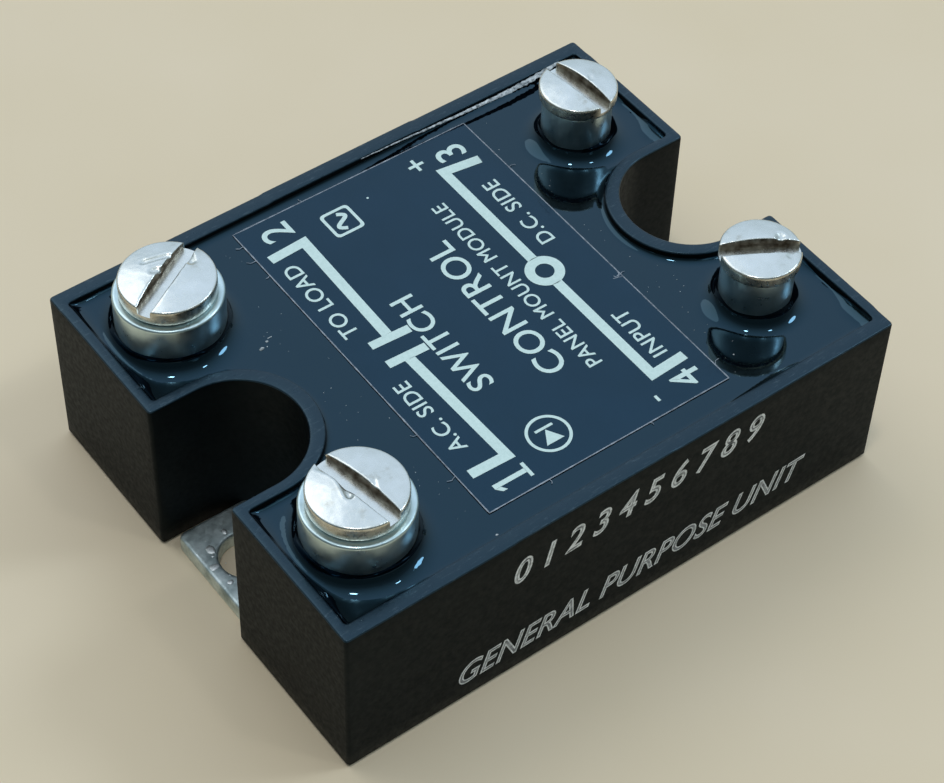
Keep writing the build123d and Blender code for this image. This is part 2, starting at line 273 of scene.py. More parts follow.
# ------------------------------------------------------------------ solder splashes
# Tin solder that spat onto the plate's tongues when the stack was soldered down: a few large
# flat drops, and fine ones scattered about. They stick by themselves.

def new_tree(name, sizes):
    """A geometry tree with a geometry input and named inputs; returns it with its two end nodes."""
    kinds = {float: "NodeSocketFloat", int: "NodeSocketInt", bpy.types.Material: "NodeSocketMaterial"}
    tree = bpy.data.node_groups.new(name, "GeometryNodeTree")
    tree.interface.new_socket("Geometry", in_out="INPUT", socket_type="NodeSocketGeometry")
    tree.interface.new_socket("Geometry", in_out="OUTPUT", socket_type="NodeSocketGeometry")
    for label, value in sizes.items():
        socket = tree.interface.new_socket(label, in_out="INPUT", socket_type=kinds[type(value)])
        socket.default_value = value
    return tree, put(tree, "NodeGroupInput"), put(tree, "NodeGroupOutput")


def close_tree(tree, ends, geometry):
    """Last two steps of every tree: real geometry, then its material."""
    start, end = ends
    real = put(tree, "GeometryNodeRealizeInstances", {"Geometry": geometry}).outputs["Geometry"]
    inputs = {"Geometry": real, "Material": start.outputs["Material"]}
    painted = put(tree, "GeometryNodeSetMaterial", inputs).outputs["Geometry"]
    tree.links.new(painted, end.inputs["Geometry"])


def grown(tree, base=None, **sizes):
    """The tree's result on a base mesh, as a plain mesh; sizes are given by input name."""
    holder = bpy.data.objects.new("holder", base or bpy.data.meshes.new("none"))
    bpy.context.scene.collection.objects.link(holder)
    modifier = holder.modifiers.new("grow", "NODES")
    modifier.node_group = tree
    for item in tree.interface.items_tree:
        label = item.name.replace(" ", "_").lower()
        if item.in_out == "INPUT" and label in sizes:
            modifier[item.identifier] = sizes[label]
    shown = holder.evaluated_get(bpy.context.evaluated_depsgraph_get())
    mesh = bpy.data.meshes.new_from_object(shown)
    holder.modifiers.clear()
    bpy.data.objects.remove(holder)
    return mesh


def scatter_tree():
    """Flattened specks on a surface, with a size, a count per square mm and a seed."""
    sizes = {"Density": 0.5, "Speck Radius": 0.1, "Flatness": 0.4, "Seed": 3,
             "Material": bpy.data.materials[0]}
    tree, start, end = new_tree("scattered_specks", sizes)
    inputs = {"Mesh": start.outputs["Geometry"], "Density": start.outputs["Density"],
              "Seed": start.outputs["Seed"]}
    points = put(tree, "GeometryNodeDistributePointsOnFaces", inputs)
    inputs = {"Radius": start.outputs["Speck Radius"], "Subdivisions": 2}
    ball = put(tree, "GeometryNodeMeshIcoSphere", inputs)
    span = {"Min": (0.4, 0.4, 0.2), "Max": (1.5, 1.2, 0.5), "Seed": start.outputs["Seed"]}
    size = put(tree, "FunctionNodeRandomValue", span, data_type="FLOAT_VECTOR")
    flat = put(tree, "ShaderNodeVectorMath", {0: size.outputs["Value"]}, operation="MULTIPLY")
    squash = put(tree, "ShaderNodeCombineXYZ", {"X": 1.0, "Y": 1.0, "Z": start.outputs["Flatness"]})
    tree.links.new(squash.outputs["Vector"], flat.inputs[1])
    inputs = {"Points": points.outputs["Points"], "Instance": ball.outputs["Mesh"],
              "Rotation": points.outputs["Rotation"], "Scale": flat.outputs["Vector"]}
    specks = put(tree, "GeometryNodeInstanceOnPoints", inputs).outputs["Instances"]
    smooth = put(tree, "GeometryNodeSetShadeSmooth", {"Geometry": specks}).outputs["Geometry"]
    close_tree(tree, (start, end), smooth)
    return tree


def mesh_of(points, edges=(), faces=()):
    """A mesh straight from its points."""
    mesh = bpy.data.meshes.new("drawn")
    mesh.from_pydata(points, list(edges), list(faces))
    return mesh


def patch(x0, x1, half_width, z):
    """A flat rectangle, for instance to scatter on."""
    corners = [(x0, -half_width, z), (x1, -half_width, z), (x1, half_width, z), (x0, half_width, z)]
    return mesh_of(corners, faces=[(0, 1, 2, 3)])


def joined(meshes):
    """Several meshes as one."""
    work = bmesh.new()
    for mesh in meshes:
        work.from_mesh(mesh)
    mesh = bpy.data.meshes.new("joined")
    work.to_mesh(mesh)
    work.free()
    return mesh


solder = new_finish("solder_splash", Metallic=1.0)
solder_shade = graded(solder, grain(solder, 0.4), (0.3, (0.72, 0.76, 0.76)), (0.7, (0.93, 0.94, 0.93)))
solder_gloss = graded(solder, grain(solder, 0.15), (0.3, 0.45), (0.7, 0.6))
dressed(solder, solder_shade, solder_gloss, (grain(solder, 0.1), 0.01))
specks = scatter_tree()


def blob(x, y, z, reach_x, reach_y, height):
    """A flat drop with an uneven edge, sunk a little into what it lies on."""
    work = bmesh.new()
    loops = []
    for t in (1.0, 0.95, 0.8, 0.55, 0.25):
        loop = []
        for angle in np.linspace(0, 2 * math.pi, 28, endpoint=False):
            along, across = math.cos(angle), math.sin(angle)
            wobble = 1 + 0.22 * noise.noise(Vector((along * 1.4 + x, across * 1.4 + y, 5.0)))
            at_x = x + reach_x * t * wobble * along
            at_y = y + reach_y * t * wobble * across
            loop.append((at_x, at_y, z - 0.02 + height * math.sqrt(1 - t * t)))
        loops.append(loop)
    rings = add_lofted(work, loops)
    work.faces.new(rings[0])
    work.faces.new(rings[-1])
    return mesh_from(work, 60)


# Drops: centre x and y, reach along x and y, height
DROPS = [(-26.07, 2.19, 0.40, 0.52, 0.10), (-24.05, 3.15, 0.26, 0.38, 0.12),
         (-26.85, 0.40, 0.42, 0.34, 0.07), (-26.60, -1.75, 0.30, 0.24, 0.08),
         (-26.30, 1.45, 0.16, 0.12, 0.05), (26.4, 1.6, 0.34, 0.26, 0.1), (26.7, -2.4, 0.26, 0.4, 0.1)]
SPECKLED_X, SPECKLED_HALF_W = (25.6, 27.0), 4.4         # the tips of the tongues
drops = [blob(x, y, PLATE_T, rx, ry, h) for x, y, rx, ry, h in DROPS]
tips = [patch(*sorted(side * x for x in SPECKLED_X), SPECKLED_HALF_W, PLATE_T) for side in (-1, 1)]
fine = grown(specks, joined(tips), density=0.35, speck_radius=0.07, flatness=0.6, seed=11, material=solder)
new_piece("solder_splashes", joined([*drops, fine]), solder)

# ------------------------------------------------------------------ power stack
# Alumina insulator soldered on the plate, two copper pads on it, a thyristor die on each pad,
# copper clips crossing from die to pad, and two copper straps up to the load posts.

def repaint(finish, *names):
    """Gives CAD nodes their finish."""
    for name in names:
        nodes[name].data.materials.clear()
        nodes[name].data.materials.append(finish)


def layered_finish(name, dark, light, size_mm, roughness, bump_mm, metallic=0.0, stretch=(1, 1, 1)):
    """Finish with two shades in patches, uneven gloss and a fine grain."""
    finish = new_finish(name, Metallic=metallic)
    low, high = roughness
    shade = graded(finish, grain(finish, size_mm, 6.0, stretch), (0.35, dark), (0.7, light))
    gloss = graded(finish, grain(finish, size_mm / 4), (0.3, low), (0.7, high))
    return dressed(finish, shade, gloss, (grain(finish, size_mm / 8, 4.0, stretch), bump_mm))


alumina = layered_finish("alumina", (0.80, 0.80, 0.76), (0.90, 0.90, 0.87), 1.2, (0.45, 0.6), 0.004)
copper = layered_finish("copper_sheet", (0.50, 0.22, 0.12), (0.86, 0.48, 0.32), 1.5, (0.2, 0.42), 0.006,
                        metallic=1.0, stretch=(4, 1, 1))
silicon = layered_finish("silicon_die", (0.10, 0.11, 0.13), (0.24, 0.25, 0.28), 0.8, (0.1, 0.3), 0.001, 0.4)
repaint(alumina, "ceramic_insulator")
for number in (1, 2):
    repaint(copper, f"copper_pad_{number}", f"cathode_clip_{number}", f"load_strap_{number}")
    repaint(silicon, f"thyristor_chip_{number}")

# ------------------------------------------------------------------ circuit board
# Green glass-epoxy board over the power stack, with the opto coupler, the snubber, the input
# parts and the gate resistors, all on tinned leads soldered through it.

board = layered_finish("glass_epoxy_board", (0.02, 0.12, 0.05), (0.05, 0.20, 0.09), 0.5, (0.3, 0.5), 0.004,
                       stretch=(1, 6, 1))
package = layered_finish("chip_package", (0.012, 0.012, 0.013), (0.03, 0.03, 0.032), 0.4, (0.4, 0.6), 0.004)
tinned = layered_finish("tinned_wire", (0.55, 0.55, 0.54), (0.78, 0.78, 0.77), 0.5, (0.2, 0.4), 0.003, 1.0)
film_box = layered_finish("capacitor_box", (0.30, 0.04, 0.02), (0.46, 0.08, 0.04), 1.0, (0.25, 0.4), 0.003)
repaint(board, "circuit_board")
repaint(package, "opto_coupler", "drive_transistor", "input_diode")
repaint(tinned, "opto_coupler_leads", "gate_lead_1", "gate_lead_2", "pad_lead_1", "pad_lead_2")
repaint(film_box, "snubber_capacitor")


def banded_resistor(name, along):
    """Tan resistor body with brown value bands across its length; along is X or Y."""
    finish = new_finish(name)
    low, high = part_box(name)
    axis = "XYZ".index(along)
    coords = put(finish.node_tree, "ShaderNodeTexCoord").outputs["Object"]
    place = put(finish.node_tree, "ShaderNodeSeparateXYZ", {"Vector": coords}).outputs[along]
    span = {"Value": place, "From Min": low[axis], "From Max": high[axis]}
    along_body = put(finish.node_tree, "ShaderNodeMapRange", span).outputs["Result"]
    tan, brown = (0.50, 0.36, 0.20), (0.10, 0.03, 0.01)
    bands = graded(finish, along_body, (0.0, tan), (0.30, brown), (0.36, tan), (0.44, brown), (0.50, tan),
                   (0.58, brown), (0.64, tan))
    finish.node_tree.nodes[-1].color_ramp.interpolation = "CONSTANT"
    dusted = blended(finish, grain(finish, 0.5), bands, (0.42, 0.30, 0.17))
    gloss = graded(finish, grain(finish, 0.3), (0.3, 0.3), (0.7, 0.5))
    repaint(dressed(finish, dusted, gloss, (grain(finish, 0.2), 0.006)), name)


for name in ("snubber_resistor", "gate_resistor_1", "gate_resistor_2"):
    banded_resistor(name, "X")
banded_resistor("input_resistor", "Y")

# ------------------------------------------------------------------ terminal posts
# Four posts turned from bar and dull-plated: 9.6 mm at the load end, 6.4 mm at the control end.
# Each stands on a strap or on the board, is tapped from the top, and has a grip groove.

def post_metal():
    finish = new_finish("dull_plated_post", Metallic=1.0)
    tarnish = graded(finish, grain(finish, 1.4, 7.0, (1, 1, 1.6)), (0.22, (0.42, 0.52, 0.52)),
                     (0.46, (0.57, 0.70, 0.72)), (0.72, (0.64, 0.77, 0.80)))
    gloss = graded(finish, grain(finish, 0.9, 8.0), (0.3, 0.26), (0.7, 0.38))
    turned = grain(finish, 0.16, 2.0, (60, 60, 1))
    return dressed(finish, tarnish, gloss, (turned, 0.002), (grain(finish, 1.1, 4.0), 0.008))


def lathe_tree():
    """Turns a profile drawn as (radius, -height) about an upright axis; places it by centre."""
    sizes = {"Segments": 96, "Centre X": 0.0, "Centre Y": 0.0, "Material": bpy.data.materials[0]}
    tree, start, end = new_tree("turned_on_lathe", sizes)
    profile = put(tree, "GeometryNodeMeshToCurve", {"Mesh": start.outputs["Geometry"]}).outputs["Curve"]
    inputs = {"Resolution": start.outputs["Segments"], "Radius": 1.0}
    circle = put(tree, "GeometryNodeCurvePrimitiveCircle", inputs)
    upright = put(tree, "GeometryNodeSetCurveNormal", {"Curve": circle.outputs["Curve"]}, mode="Z_UP")
    inputs = {"Curve": upright.outputs["Curve"], "Profile Curve": profile}
    solid = put(tree, "GeometryNodeCurveToMesh", inputs).outputs["Mesh"]
    inputs = {"X": start.outputs["Centre X"], "Y": start.outputs["Centre Y"]}
    place = put(tree, "ShaderNodeCombineXYZ", inputs)
    moved = put(tree, "GeometryNodeTransform", {"Geometry": solid, "Translation": place.outputs["Vector"]})
    close_tree(tree, (start, end), moved.outputs["Geometry"])
    return tree


def lathe(profile, centre, finish):
    """Mesh turned from (radius, height) points about centre (x, y)."""
    points = [(max(r, 1e-4) - 1.0, -z, 0.0) for r, z in profile]
    base = mesh_of(points, [(i, i + 1) for i in range(len(points) - 1)])
    x, y = centre
    mesh = grown(turning, base, segments=96, centre_x=float(x), centre_y=float(y), material=finish)
    work = bmesh.new()
    work.from_mesh(mesh)
    return mesh_from(work, 32)


turning = lathe_tree()
post_finish = post_metal()
LOAD_POST = {"r": 4.79, "x": -21.5, "y": 13.8, "foot": 6.2, "top": 21.44, "bore": 2.13, "edge": 0.25}
CONTROL_POST = {"r": 3.2, "x": 21.15, "y": 12.5, "foot": 9.6, "top": 21.76, "bore": 1.8, "edge": 0.2}
SOLID_FOOT, PEG_R, PEG_LENGTH = 4, 1.6, 0.8
TERMINALS = {1: (LOAD_POST, -1), 2: (LOAD_POST, 1), 3: (CONTROL_POST, 1), 4: (CONTROL_POST, -1)}


def post_profile(post):
    """Bore, lead-in, flat top, rounded edge, side, foot and the peg under it."""
    r, top, edge, bore, foot = (post[size] for size in ("r", "top", "edge", "bore", "foot"))
    rounding = [(r - edge + edge * math.sin(a), top - edge + edge * math.cos(a))
                for a in np.radians(range(0, 91, 15))]
    return [(0, foot + SOLID_FOOT), (bore, foot + SOLID_FOOT), (bore, top - 0.3), (bore + 0.25, top - 0.02),
            (r - 0.6, top - 0.02), (r - edge - 0.1, top), *rounding, (r, top - 2), (r, top - 4),
            (r, foot), (PEG_R, foot), (PEG_R, foot - PEG_LENGTH), (0, foot - PEG_LENGTH)]


for number, (post, side) in TERMINALS.items():
    turned_post = lathe(post_profile(post), (post["x"], side * post["y"]), post_finish)
    new_piece(f"turned_post_{number}", turned_post, post_finish, [f"terminal_post_{number}"])

# ------------------------------------------------------------------ housing
# Frame moulded in black thermoset: outer walls, a U notch in each end, a thin rim. The rim
# steps up a little along the middle of each long side, where the mould's inserts met.

HALF_L, HALF_W = 28.57, 22.205
RIM_Z, FOOT_Z = 17.7, 0.1
SIDE_WALL, END_WALL = 1.48, 1.05
CORNER_R, INNER_CORNER_R = 0.35, 0.3
NOTCH_R, NOTCH_X = 6.07, 24.1
NOTCH_OUTER_R, NOTCH_OUTER_X = 7.1, 23.7
RIM_STEP = 0.09
STEP_SPANS = {-1: (-12.1, 4.6), 1: (-6.6, 9.5)}     # where the rim is raised, by side


def straight(start, end, count):
    """Points from start towards end, the last one left out."""
    t = np.arange(count)[:, None] / count
    return [tuple(p) for p in np.array(start) * (1 - t) + np.array(end) * t]


def frame_outline(half_l, half_w, corner, notch_r, notch_x, mouth):
    """Anticlockwise outline with a U notch in each end, always with the same point count."""
    x, y, n = half_l, half_w, notch_r
    half = straight((0, -y), (x - corner, -y), 60)
    half += arc((x - corner, -y + corner), corner, -90, 0, 6)
    half += straight((x, -y + corner), (x, -n - mouth), 20)[1:]
    half += arc((x - mouth, -n - mouth), mouth, 0, 90, 4)
    half += straight((x - mouth, -n), (notch_x, -n), 6)[1:]
    half += arc((notch_x, 0), n, 270, 90, 44)
    half += straight((notch_x, n), (x - mouth, n), 6)[1:]
    half += arc((x - mouth, n + mouth), mouth, 270, 360, 4)
    half += straight((x, n + mouth), (x, y - corner), 20)[1:]
    half += arc((x - corner, y - corner), corner, 0, 90, 6)
    half += straight((x - corner, y), (0, y), 60)[1:]
    return half + [(-px, -py) for px, py in half]


def outer_outline(inset):
    corner = CORNER_R - 0.8 * inset
    return frame_outline(HALF_L - inset, HALF_W - inset, corner, NOTCH_R + inset, NOTCH_X, corner)


def cavity_outline(grow):
    """The frame's inner edge; grow opens it up."""
    corner = max(INNER_CORNER_R + grow, 0.03)
    return frame_outline(HALF_L - END_WALL + grow, HALF_W - SIDE_WALL + grow, corner,
                         NOTCH_OUTER_R - grow, NOTCH_OUTER_X, corner)


def rim_height(x, y):
    """How far the rim stands above or below its nominal height."""
    lift = 0.02 * noise.noise(Vector((x * 0.18, y * 0.18, 3.0)))
    side = 1 if y > 0 else -1
    low, high = STEP_SPANS[side]
    if abs(y) > HALF_W - SIDE_WALL - 0.5 and not low < x < high:
        lift -= RIM_STEP
    return lift


def shaped_rim(outline, z):
    return [(x, y, z + rim_height(x, y)) for x, y in outline]


def moulded_frame():
    """Outer wall, rounded rim and inner wall as one closed skin."""
    work = bmesh.new()
    walls = [FOOT_Z + 0.25, *np.linspace(2, 16.5, 7), RIM_Z - 0.3]
    edge = [(0.14, 0.015), (0.07, 0.05), (0.02, 0.11), (0.0, 0.2)]
    loops = [at_height(outer_outline(0.15), FOOT_Z)]
    loops += [at_height(outer_outline(0.0), z) for z in walls]
    loops += [shaped_rim(outer_outline(inset), RIM_Z - down) for down, inset in edge]
    loops += [shaped_rim(cavity_outline(grow), RIM_Z - down) for down, grow in reversed(edge)]
    loops += [at_height(cavity_outline(0.0), z) for z in (RIM_Z - 0.4, 15.5, PLATE_T, FOOT_Z)]
    rings = add_lofted(work, loops)
    for i in range(len(rings[0])):
        j = (i + 1) % len(rings[0])
        work.faces.new((rings[-1][i], rings[-1][j], rings[0][j], rings[0][i]))
    return work


def add_corner_floor(work, side_x, side_y):
    """Floor in one corner of the frame, up to the base plate's edge."""
    xs = sorted((side_x * (SHOULDER_X + 0.15), side_x * (HALF_L - 0.5)))
    ys = sorted((side_y * (NOTCH_OUTER_R - 0.5), side_y * (HALF_W - 0.5)))
    floor = [(xs[0], ys[0]), (xs[1], ys[0]), (xs[1], ys[1]), (xs[0], ys[1])]
    rings = add_lofted(work, [at_height(rounded(floor, 0.2), z) for z in (FOOT_Z + 0.02, PLATE_T)])
    for ring in rings:
        work.faces.new(ring)


def moulded_black():
    """Black thermoset walls: matt skin, fine grain, faint scuffs."""
    finish = new_finish("moulded_black", IOR=1.2, Specular_Tint=(0.6, 0.85, 1.0, 1.0))
    scuff = graded(finish, grain(finish, 0.5, 9.0, (1, 1, 3), 0.72), (0.58, 0.0), (0.85, 0.35))
    skin = graded(finish, grain(finish, 2.5, 7.0), (0.3, (0.0015, 0.0030, 0.0036)),
                  (0.75, (0.0034, 0.0056, 0.0064)))
    shade = blended(finish, scuff, skin, (0.018, 0.022, 0.022))
    gloss = graded(finish, grain(finish, 0.5, 8.0), (0.3, 0.42), (0.7, 0.6))
    return dressed(finish, shade, gloss, (grain(finish, 0.10, 3.0), 0.003), (grain(finish, 1.6, 4.0), 0.006))


def rim_black():
    """The same plastic on the rim: smoother, scratched, its edges worn paler."""
    finish = new_finish("moulded_rim", IOR=1.6, Specular_Tint=(0.45, 0.78, 1.0, 1.0))
    scratch = graded(finish, grain(finish, 0.2, 9.0, (6, 1, 1), 0.75), (0.56, 0.0), (0.74, 0.8))
    shade = blended(finish, scratch, (0.006, 0.012, 0.020), (0.10, 0.13, 0.15))
    gloss = graded(finish, grain(finish, 0.6, 9.0, rough=0.7), (0.3, 0.22), (0.7, 0.45))
    return dressed(finish, shade, gloss, (grain(finish, 0.25, 6.0), 0.008), (grain(finish, 2.2, 4.0), 0.02))


frame_work = moulded_frame()
for side_x in (-1, 1):
    for side_y in (-1, 1):
        add_corner_floor(frame_work, side_x, side_y)
housing = new_piece("moulded_housing", mesh_from(frame_work, 40), moulded_black(),
                    ["housing"])
housing.data.materials.append(rim_black())
for face in housing.data.polygons:
    if face.center.z > (RIM_Z - 0.25) * MM and face.normal.z > 0.3:
        face.material_index = 1

# ------------------------------------------------------------------ marks on the front wall
# Plain counting digits and two general words, stamped in pale ink on the -Y wall.

LETTER_SPREAD = 1.04


def widened(mesh, reach):
    """The flat mesh with its outline moved outward by reach, corners mitred."""
    work = bmesh.new()
    work.from_mesh(mesh)
    pushes = {}
    for edge in work.edges:
        if len(edge.link_faces) == 1:
            start, end = edge.verts
            out = Vector((end.co.y - start.co.y, start.co.x - end.co.x, 0)).normalized()
            if out.dot(edge.link_faces[0].calc_center_median() - start.co) > 0:
                out = -out
            for vert in edge.verts:
                pushes.setdefault(vert, []).append(out)
    for vert, sides in pushes.items():
        mitre = sum(sides, Vector((0, 0, 0))).normalized()
        vert.co += mitre * reach / max(mitre.dot(sides[0]), 0.4)
    work.to_mesh(mesh)
    work.free()
    return mesh


def lettering(words, size, heavy, slant=0.0):
    """Letters as a flat mesh in the XY plane, centred on the origin, each stroke widened by heavy."""
    curve = bpy.data.curves.new("letters", "FONT")
    curve.body = words
    curve.size = size
    curve.space_character = LETTER_SPREAD
    curve.shear = slant
    curve.align_x = "CENTER"
    curve.align_y = "CENTER"
    curve.resolution_u = 6
    holder = bpy.data.objects.new("letters", curve)
    bpy.context.scene.collection.objects.link(holder)
    shown = holder.evaluated_get(bpy.context.evaluated_depsgraph_get())
    mesh = bpy.data.meshes.new_from_object(shown)
    bpy.data.objects.remove(holder)
    return widened(mesh, heavy)


def stamped_ink():
    finish = new_finish("stamped_ink")
    thin = graded(finish, grain(finish, 0.45, 8.0, rough=0.7), (0.36, (0.42, 0.46, 0.48)),
                  (0.56, (0.86, 0.90, 0.94)))
    gloss = graded(finish, grain(finish, 0.2), (0.3, 0.45), (0.7, 0.7))
    return dressed(finish, thin, gloss, (grain(finish, 0.15), 0.01))


STAMP_TILT, STAMP_NARROW = math.radians(1.8), 0.86
CORE_PROUD = 0.003                      # the worn middle of a stroke lies over its outline
front_wall = Matrix.Translation((0, -HALF_W - 0.004, 0)) @ Matrix.Rotation(math.radians(90), 4, "X")


def stamped(words, size, x, z, slant, heavy, proud):
    """Slanted lettering on the front wall, standing proud by a few microns."""
    mark = lettering(words, size, heavy, slant)
    place = Matrix.Translation((x, z, proud)) @ Matrix.Rotation(STAMP_TILT, 4, "Z")
    mark.transform(front_wall @ place @ Matrix.Diagonal((STAMP_NARROW, 1, 1, 1)))
    return mark


# Words, size, place on the wall, slant, and how far outlines and cores are widened
STAMPS = [(digit, 4.0, -11.5 + 2.73 * place, 13.3 + 0.086 * place, 0.3, 0.10, -0.14)
          for place, digit in enumerate("0123456789")]
STAMPS.append(("GENERAL PURPOSE UNIT", 3.72, 0.8, 3.9, 0.4, 0.075, -0.075))
outlines = [stamped(*stamp[:5], stamp[5], 0.0) for stamp in STAMPS]
cores = [stamped(*stamp[:5], stamp[6], CORE_PROUD) for stamp in STAMPS]
new_piece("front_wall_marks", joined(outlines), stamped_ink())
faded = layered_finish("faded_ink", (0.14, 0.16, 0.18), (0.45, 0.48, 0.52), 0.4, (0.45, 0.7), 0.004)
new_piece("front_wall_mark_cores", joined(cores), faded)

# ------------------------------------------------------------------ potting
# Black casting epoxy poured into the frame to 0.9 mm below the rim. It set mirror-smooth and
# crept up the posts and the walls, so each meets it in a hollow fillet.

POTTING_Z = 16.8
POST_CLIMB, POST_REACH = 1.5, 1.9
WALL_CLIMB, WALL_REACH = 0.35, 0.7
END_CLIMB, END_REACH = 0.78, 1.7        # at the short walls of both ends, where it was poured
HOLLOWS = [(12.1, 2.0), (-14.8, 2.6)]   # control end: y and half length where it stayed low


def fillet_height(distance, climb, reach):
    """Height of a hollow fillet at a distance from the wall that it climbs."""
    t = np.clip(distance / reach, 0.0, 1.0)
    return climb * (1.0 - np.sqrt(np.clip(1.0 - (1.0 - t) ** 2, 0.0, 1.0)))


def epoxy():
    finish = new_finish("casting_epoxy", IOR=1.68, Specular_Tint=(0.36, 0.73, 1.0, 1.0))
    body = graded(finish, grain(finish, 6.0, 5.0), (0.3, (0.0008, 0.0012, 0.002)),
                  (0.7, (0.0012, 0.002, 0.0035)))
    dust = graded(finish, grain(finish, 0.25, 8.0, rough=0.75), (0.58, 0.035), (0.8, 0.16))
    return dressed(finish, body, dust, (grain(finish, 5.0, 2.0), 0.03), (grain(finish, 0.8, 4.0), 0.0015))


def wall_distance(points):
    """Distance from each point to the frame's side and notch walls, and to its short end walls."""
    x, y = np.abs(points[:, 0]), np.abs(points[:, 1])
    side = HALF_W - SIDE_WALL - y
    end = np.where(y > NOTCH_OUTER_R, HALF_L - END_WALL - x, 99.0)
    round_part = np.hypot(x - NOTCH_OUTER_X, y) - NOTCH_OUTER_R
    notch = np.where(x > NOTCH_OUTER_X, y - NOTCH_OUTER_R, round_part)
    return np.minimum(side, notch), end


post_places = [((post["x"], side * post["y"]), post["r"]) for post, side in TERMINALS.values()]


def epoxy_level(points):
    """Height of the epoxy over its flat level: fillets at the posts and walls, a faint swell."""
    points = np.asarray(points)
    walls, ends = wall_distance(points)
    load_end = points[:, 0] < 0
    level = fillet_height(walls, WALL_CLIMB, WALL_REACH)
    hollow = sum(np.exp(-((points[:, 1] - y) / half) ** 4) for y, half in HOLLOWS)
    control_end = fillet_height(ends, END_CLIMB * (1 - 0.85 * hollow), END_REACH * (1 - 0.5 * hollow))
    end_level = np.where(load_end, fillet_height(ends, END_CLIMB, END_REACH), control_end)
    level = np.sqrt(level ** 2 + end_level ** 2)
    for centre, r in post_places:
        away = np.hypot(points[:, 0] - centre[0], points[:, 1] - centre[1]) - r
        angle = np.arctan2(points[:, 1] - centre[1], points[:, 0] - centre[0])
        climb = POST_CLIMB * (1 + 0.06 * np.sin(3 * angle + centre[1]) + 0.03 * np.sin(7 * angle))
        reach = POST_REACH * (1 + 0.12 * np.sin(2 * angle + centre[0]) + 0.06 * np.sin(5 * angle))
        level = np.sqrt(level ** 2 + fillet_height(away, climb, reach) ** 2)
    swell = [0.02 * noise.noise(Vector((x * 0.12, y * 0.12, 7.0))) for x, y in points]
    return level + np.array(swell)


def ring_points(centre, radius, count=96):
    return arc(centre, radius, 0, 360, count)[:-1]


def raised(outline):
    return [(x, y, POTTING_Z + h) for (x, y), h in zip(outline, epoxy_level(outline))]


def add_skirt(work, z):
    """Walls down to z from every open edge."""
    open_edges = [edge for edge in work.edges if len(edge.link_faces) == 1]
    for part in bmesh.ops.extrude_edge_only(work, edges=open_edges)["geom"]:
        if isinstance(part, bmesh.types.BMVert):
            part.co.z = z


# Steps away from a wall or a post: close ones in rings, wide ones as loose points
NEAR = [-0.02, 0.01, 0.03, 0.06, 0.1, 0.15, 0.21, 0.28, 0.36, 0.45, 0.55]
FAR = [0.66, 0.78, 0.92, 1.1, 1.32, 1.58, 1.88, 2.2]
CLEAR = NEAR[-1] + 0.06                 # loose points keep this far from walls and posts
potting = bmesh.new()
shore = [cavity_outline(-step) for step in NEAR]
add_lofted(potting, [raised(loop) for loop in shore])
for centre, r in post_places:
    add_lofted(potting, [raised(ring_points(centre, r + step)) for step in NEAR])
post_rings = [ring_points(centre, r + NEAR[-1]) for centre, r in post_places]
extra = [p for step in FAR for p in cavity_outline(-step)]
extra += [p for centre, r in post_places for step in FAR for p in ring_points(centre, r + step)]
extra += [(x, y) for x in np.arange(-26, 26.1, 1.1) for y in np.arange(-19.5, 19.6, 1.1)]
within = inside(extra, cavity_outline(-CLEAR))
extra = [p for p, ok in zip(extra, within) if ok and all(math.dist(p, c) > r + CLEAR for c, r in post_places)]
flat, faces = sheet_between(shore[-1], post_rings, extra)
add_sheet(potting, raised(flat), faces)
bmesh.ops.remove_doubles(potting, verts=potting.verts, dist=1e-4)
add_skirt(potting, PLATE_T)
flat, faces = sheet_between(shore[0], [ring_points(centre, r + NEAR[0]) for centre, r in post_places])
add_sheet(potting, at_height(flat, PLATE_T), [face[::-1] for face in faces])
new_piece("poured_epoxy", mesh_from(potting, 60), epoxy(), ["potting_compound"])

# ------------------------------------------------------------------ rim flash and crumbs
# Thin flash of the moulded plastic, torn off along the inner edge of the +Y rim, wider towards
# post 3 and painted pale as the highlight along that edge. Crumbs of dried flux and dust lie loose on the
# epoxy.

# The flash's middle line: x, y and half width
FLASH_LINE = [(3.0, 20.66, 0.03), (6.5, 20.58, 0.07), (10.0, 20.42, 0.10), (13.7, 20.25, 0.15),
              (17.0, 20.16, 0.20), (19.5, 20.12, 0.27), (22.0, 20.22, 0.30), (24.0, 20.44, 0.26),
              (25.6, 20.62, 0.12)]


def flash_bead():
    """A ragged flattened ridge along the flash's middle line."""
    line = np.array(FLASH_LINE)
    places = np.arange(line[0, 0], line[-1, 0], 0.12)
    loops = []
    for x in places:
        torn = noise.noise(Vector((x * 2.2, 0.0, 4.0))) + 0.6 * noise.noise(Vector((x * 6.0, 0.0, 9.0)))
        y = np.interp(x, line[:, 0], line[:, 1]) + 0.06 * noise.noise(Vector((x * 1.1, 3.0, 0.0)))
        half = np.interp(x, line[:, 0], line[:, 2]) * (1 + 0.5 * torn)
        high = 0.04 + 0.2 * half
        ring = [(half * math.cos(a), high * math.sin(a)) for a in np.radians(range(0, 360, 36))]
        loops.append([(x, y + across, RIM_Z - 0.10 + up) for across, up in ring])
    work = bmesh.new()
    rings = add_lofted(work, loops)
    work.faces.new(rings[0])
    work.faces.new(rings[-1])
    return mesh_from(work, 50)


# The flash is painted pale: a painted highlight along the rim's inner edge
flash_highlight_paint = layered_finish("torn_flash", (0.10, 0.12, 0.13), (0.78, 0.82, 0.84), 0.35, (0.25, 0.5), 0.02)
new_piece("rim_flash", flash_bead(), flash_highlight_paint)

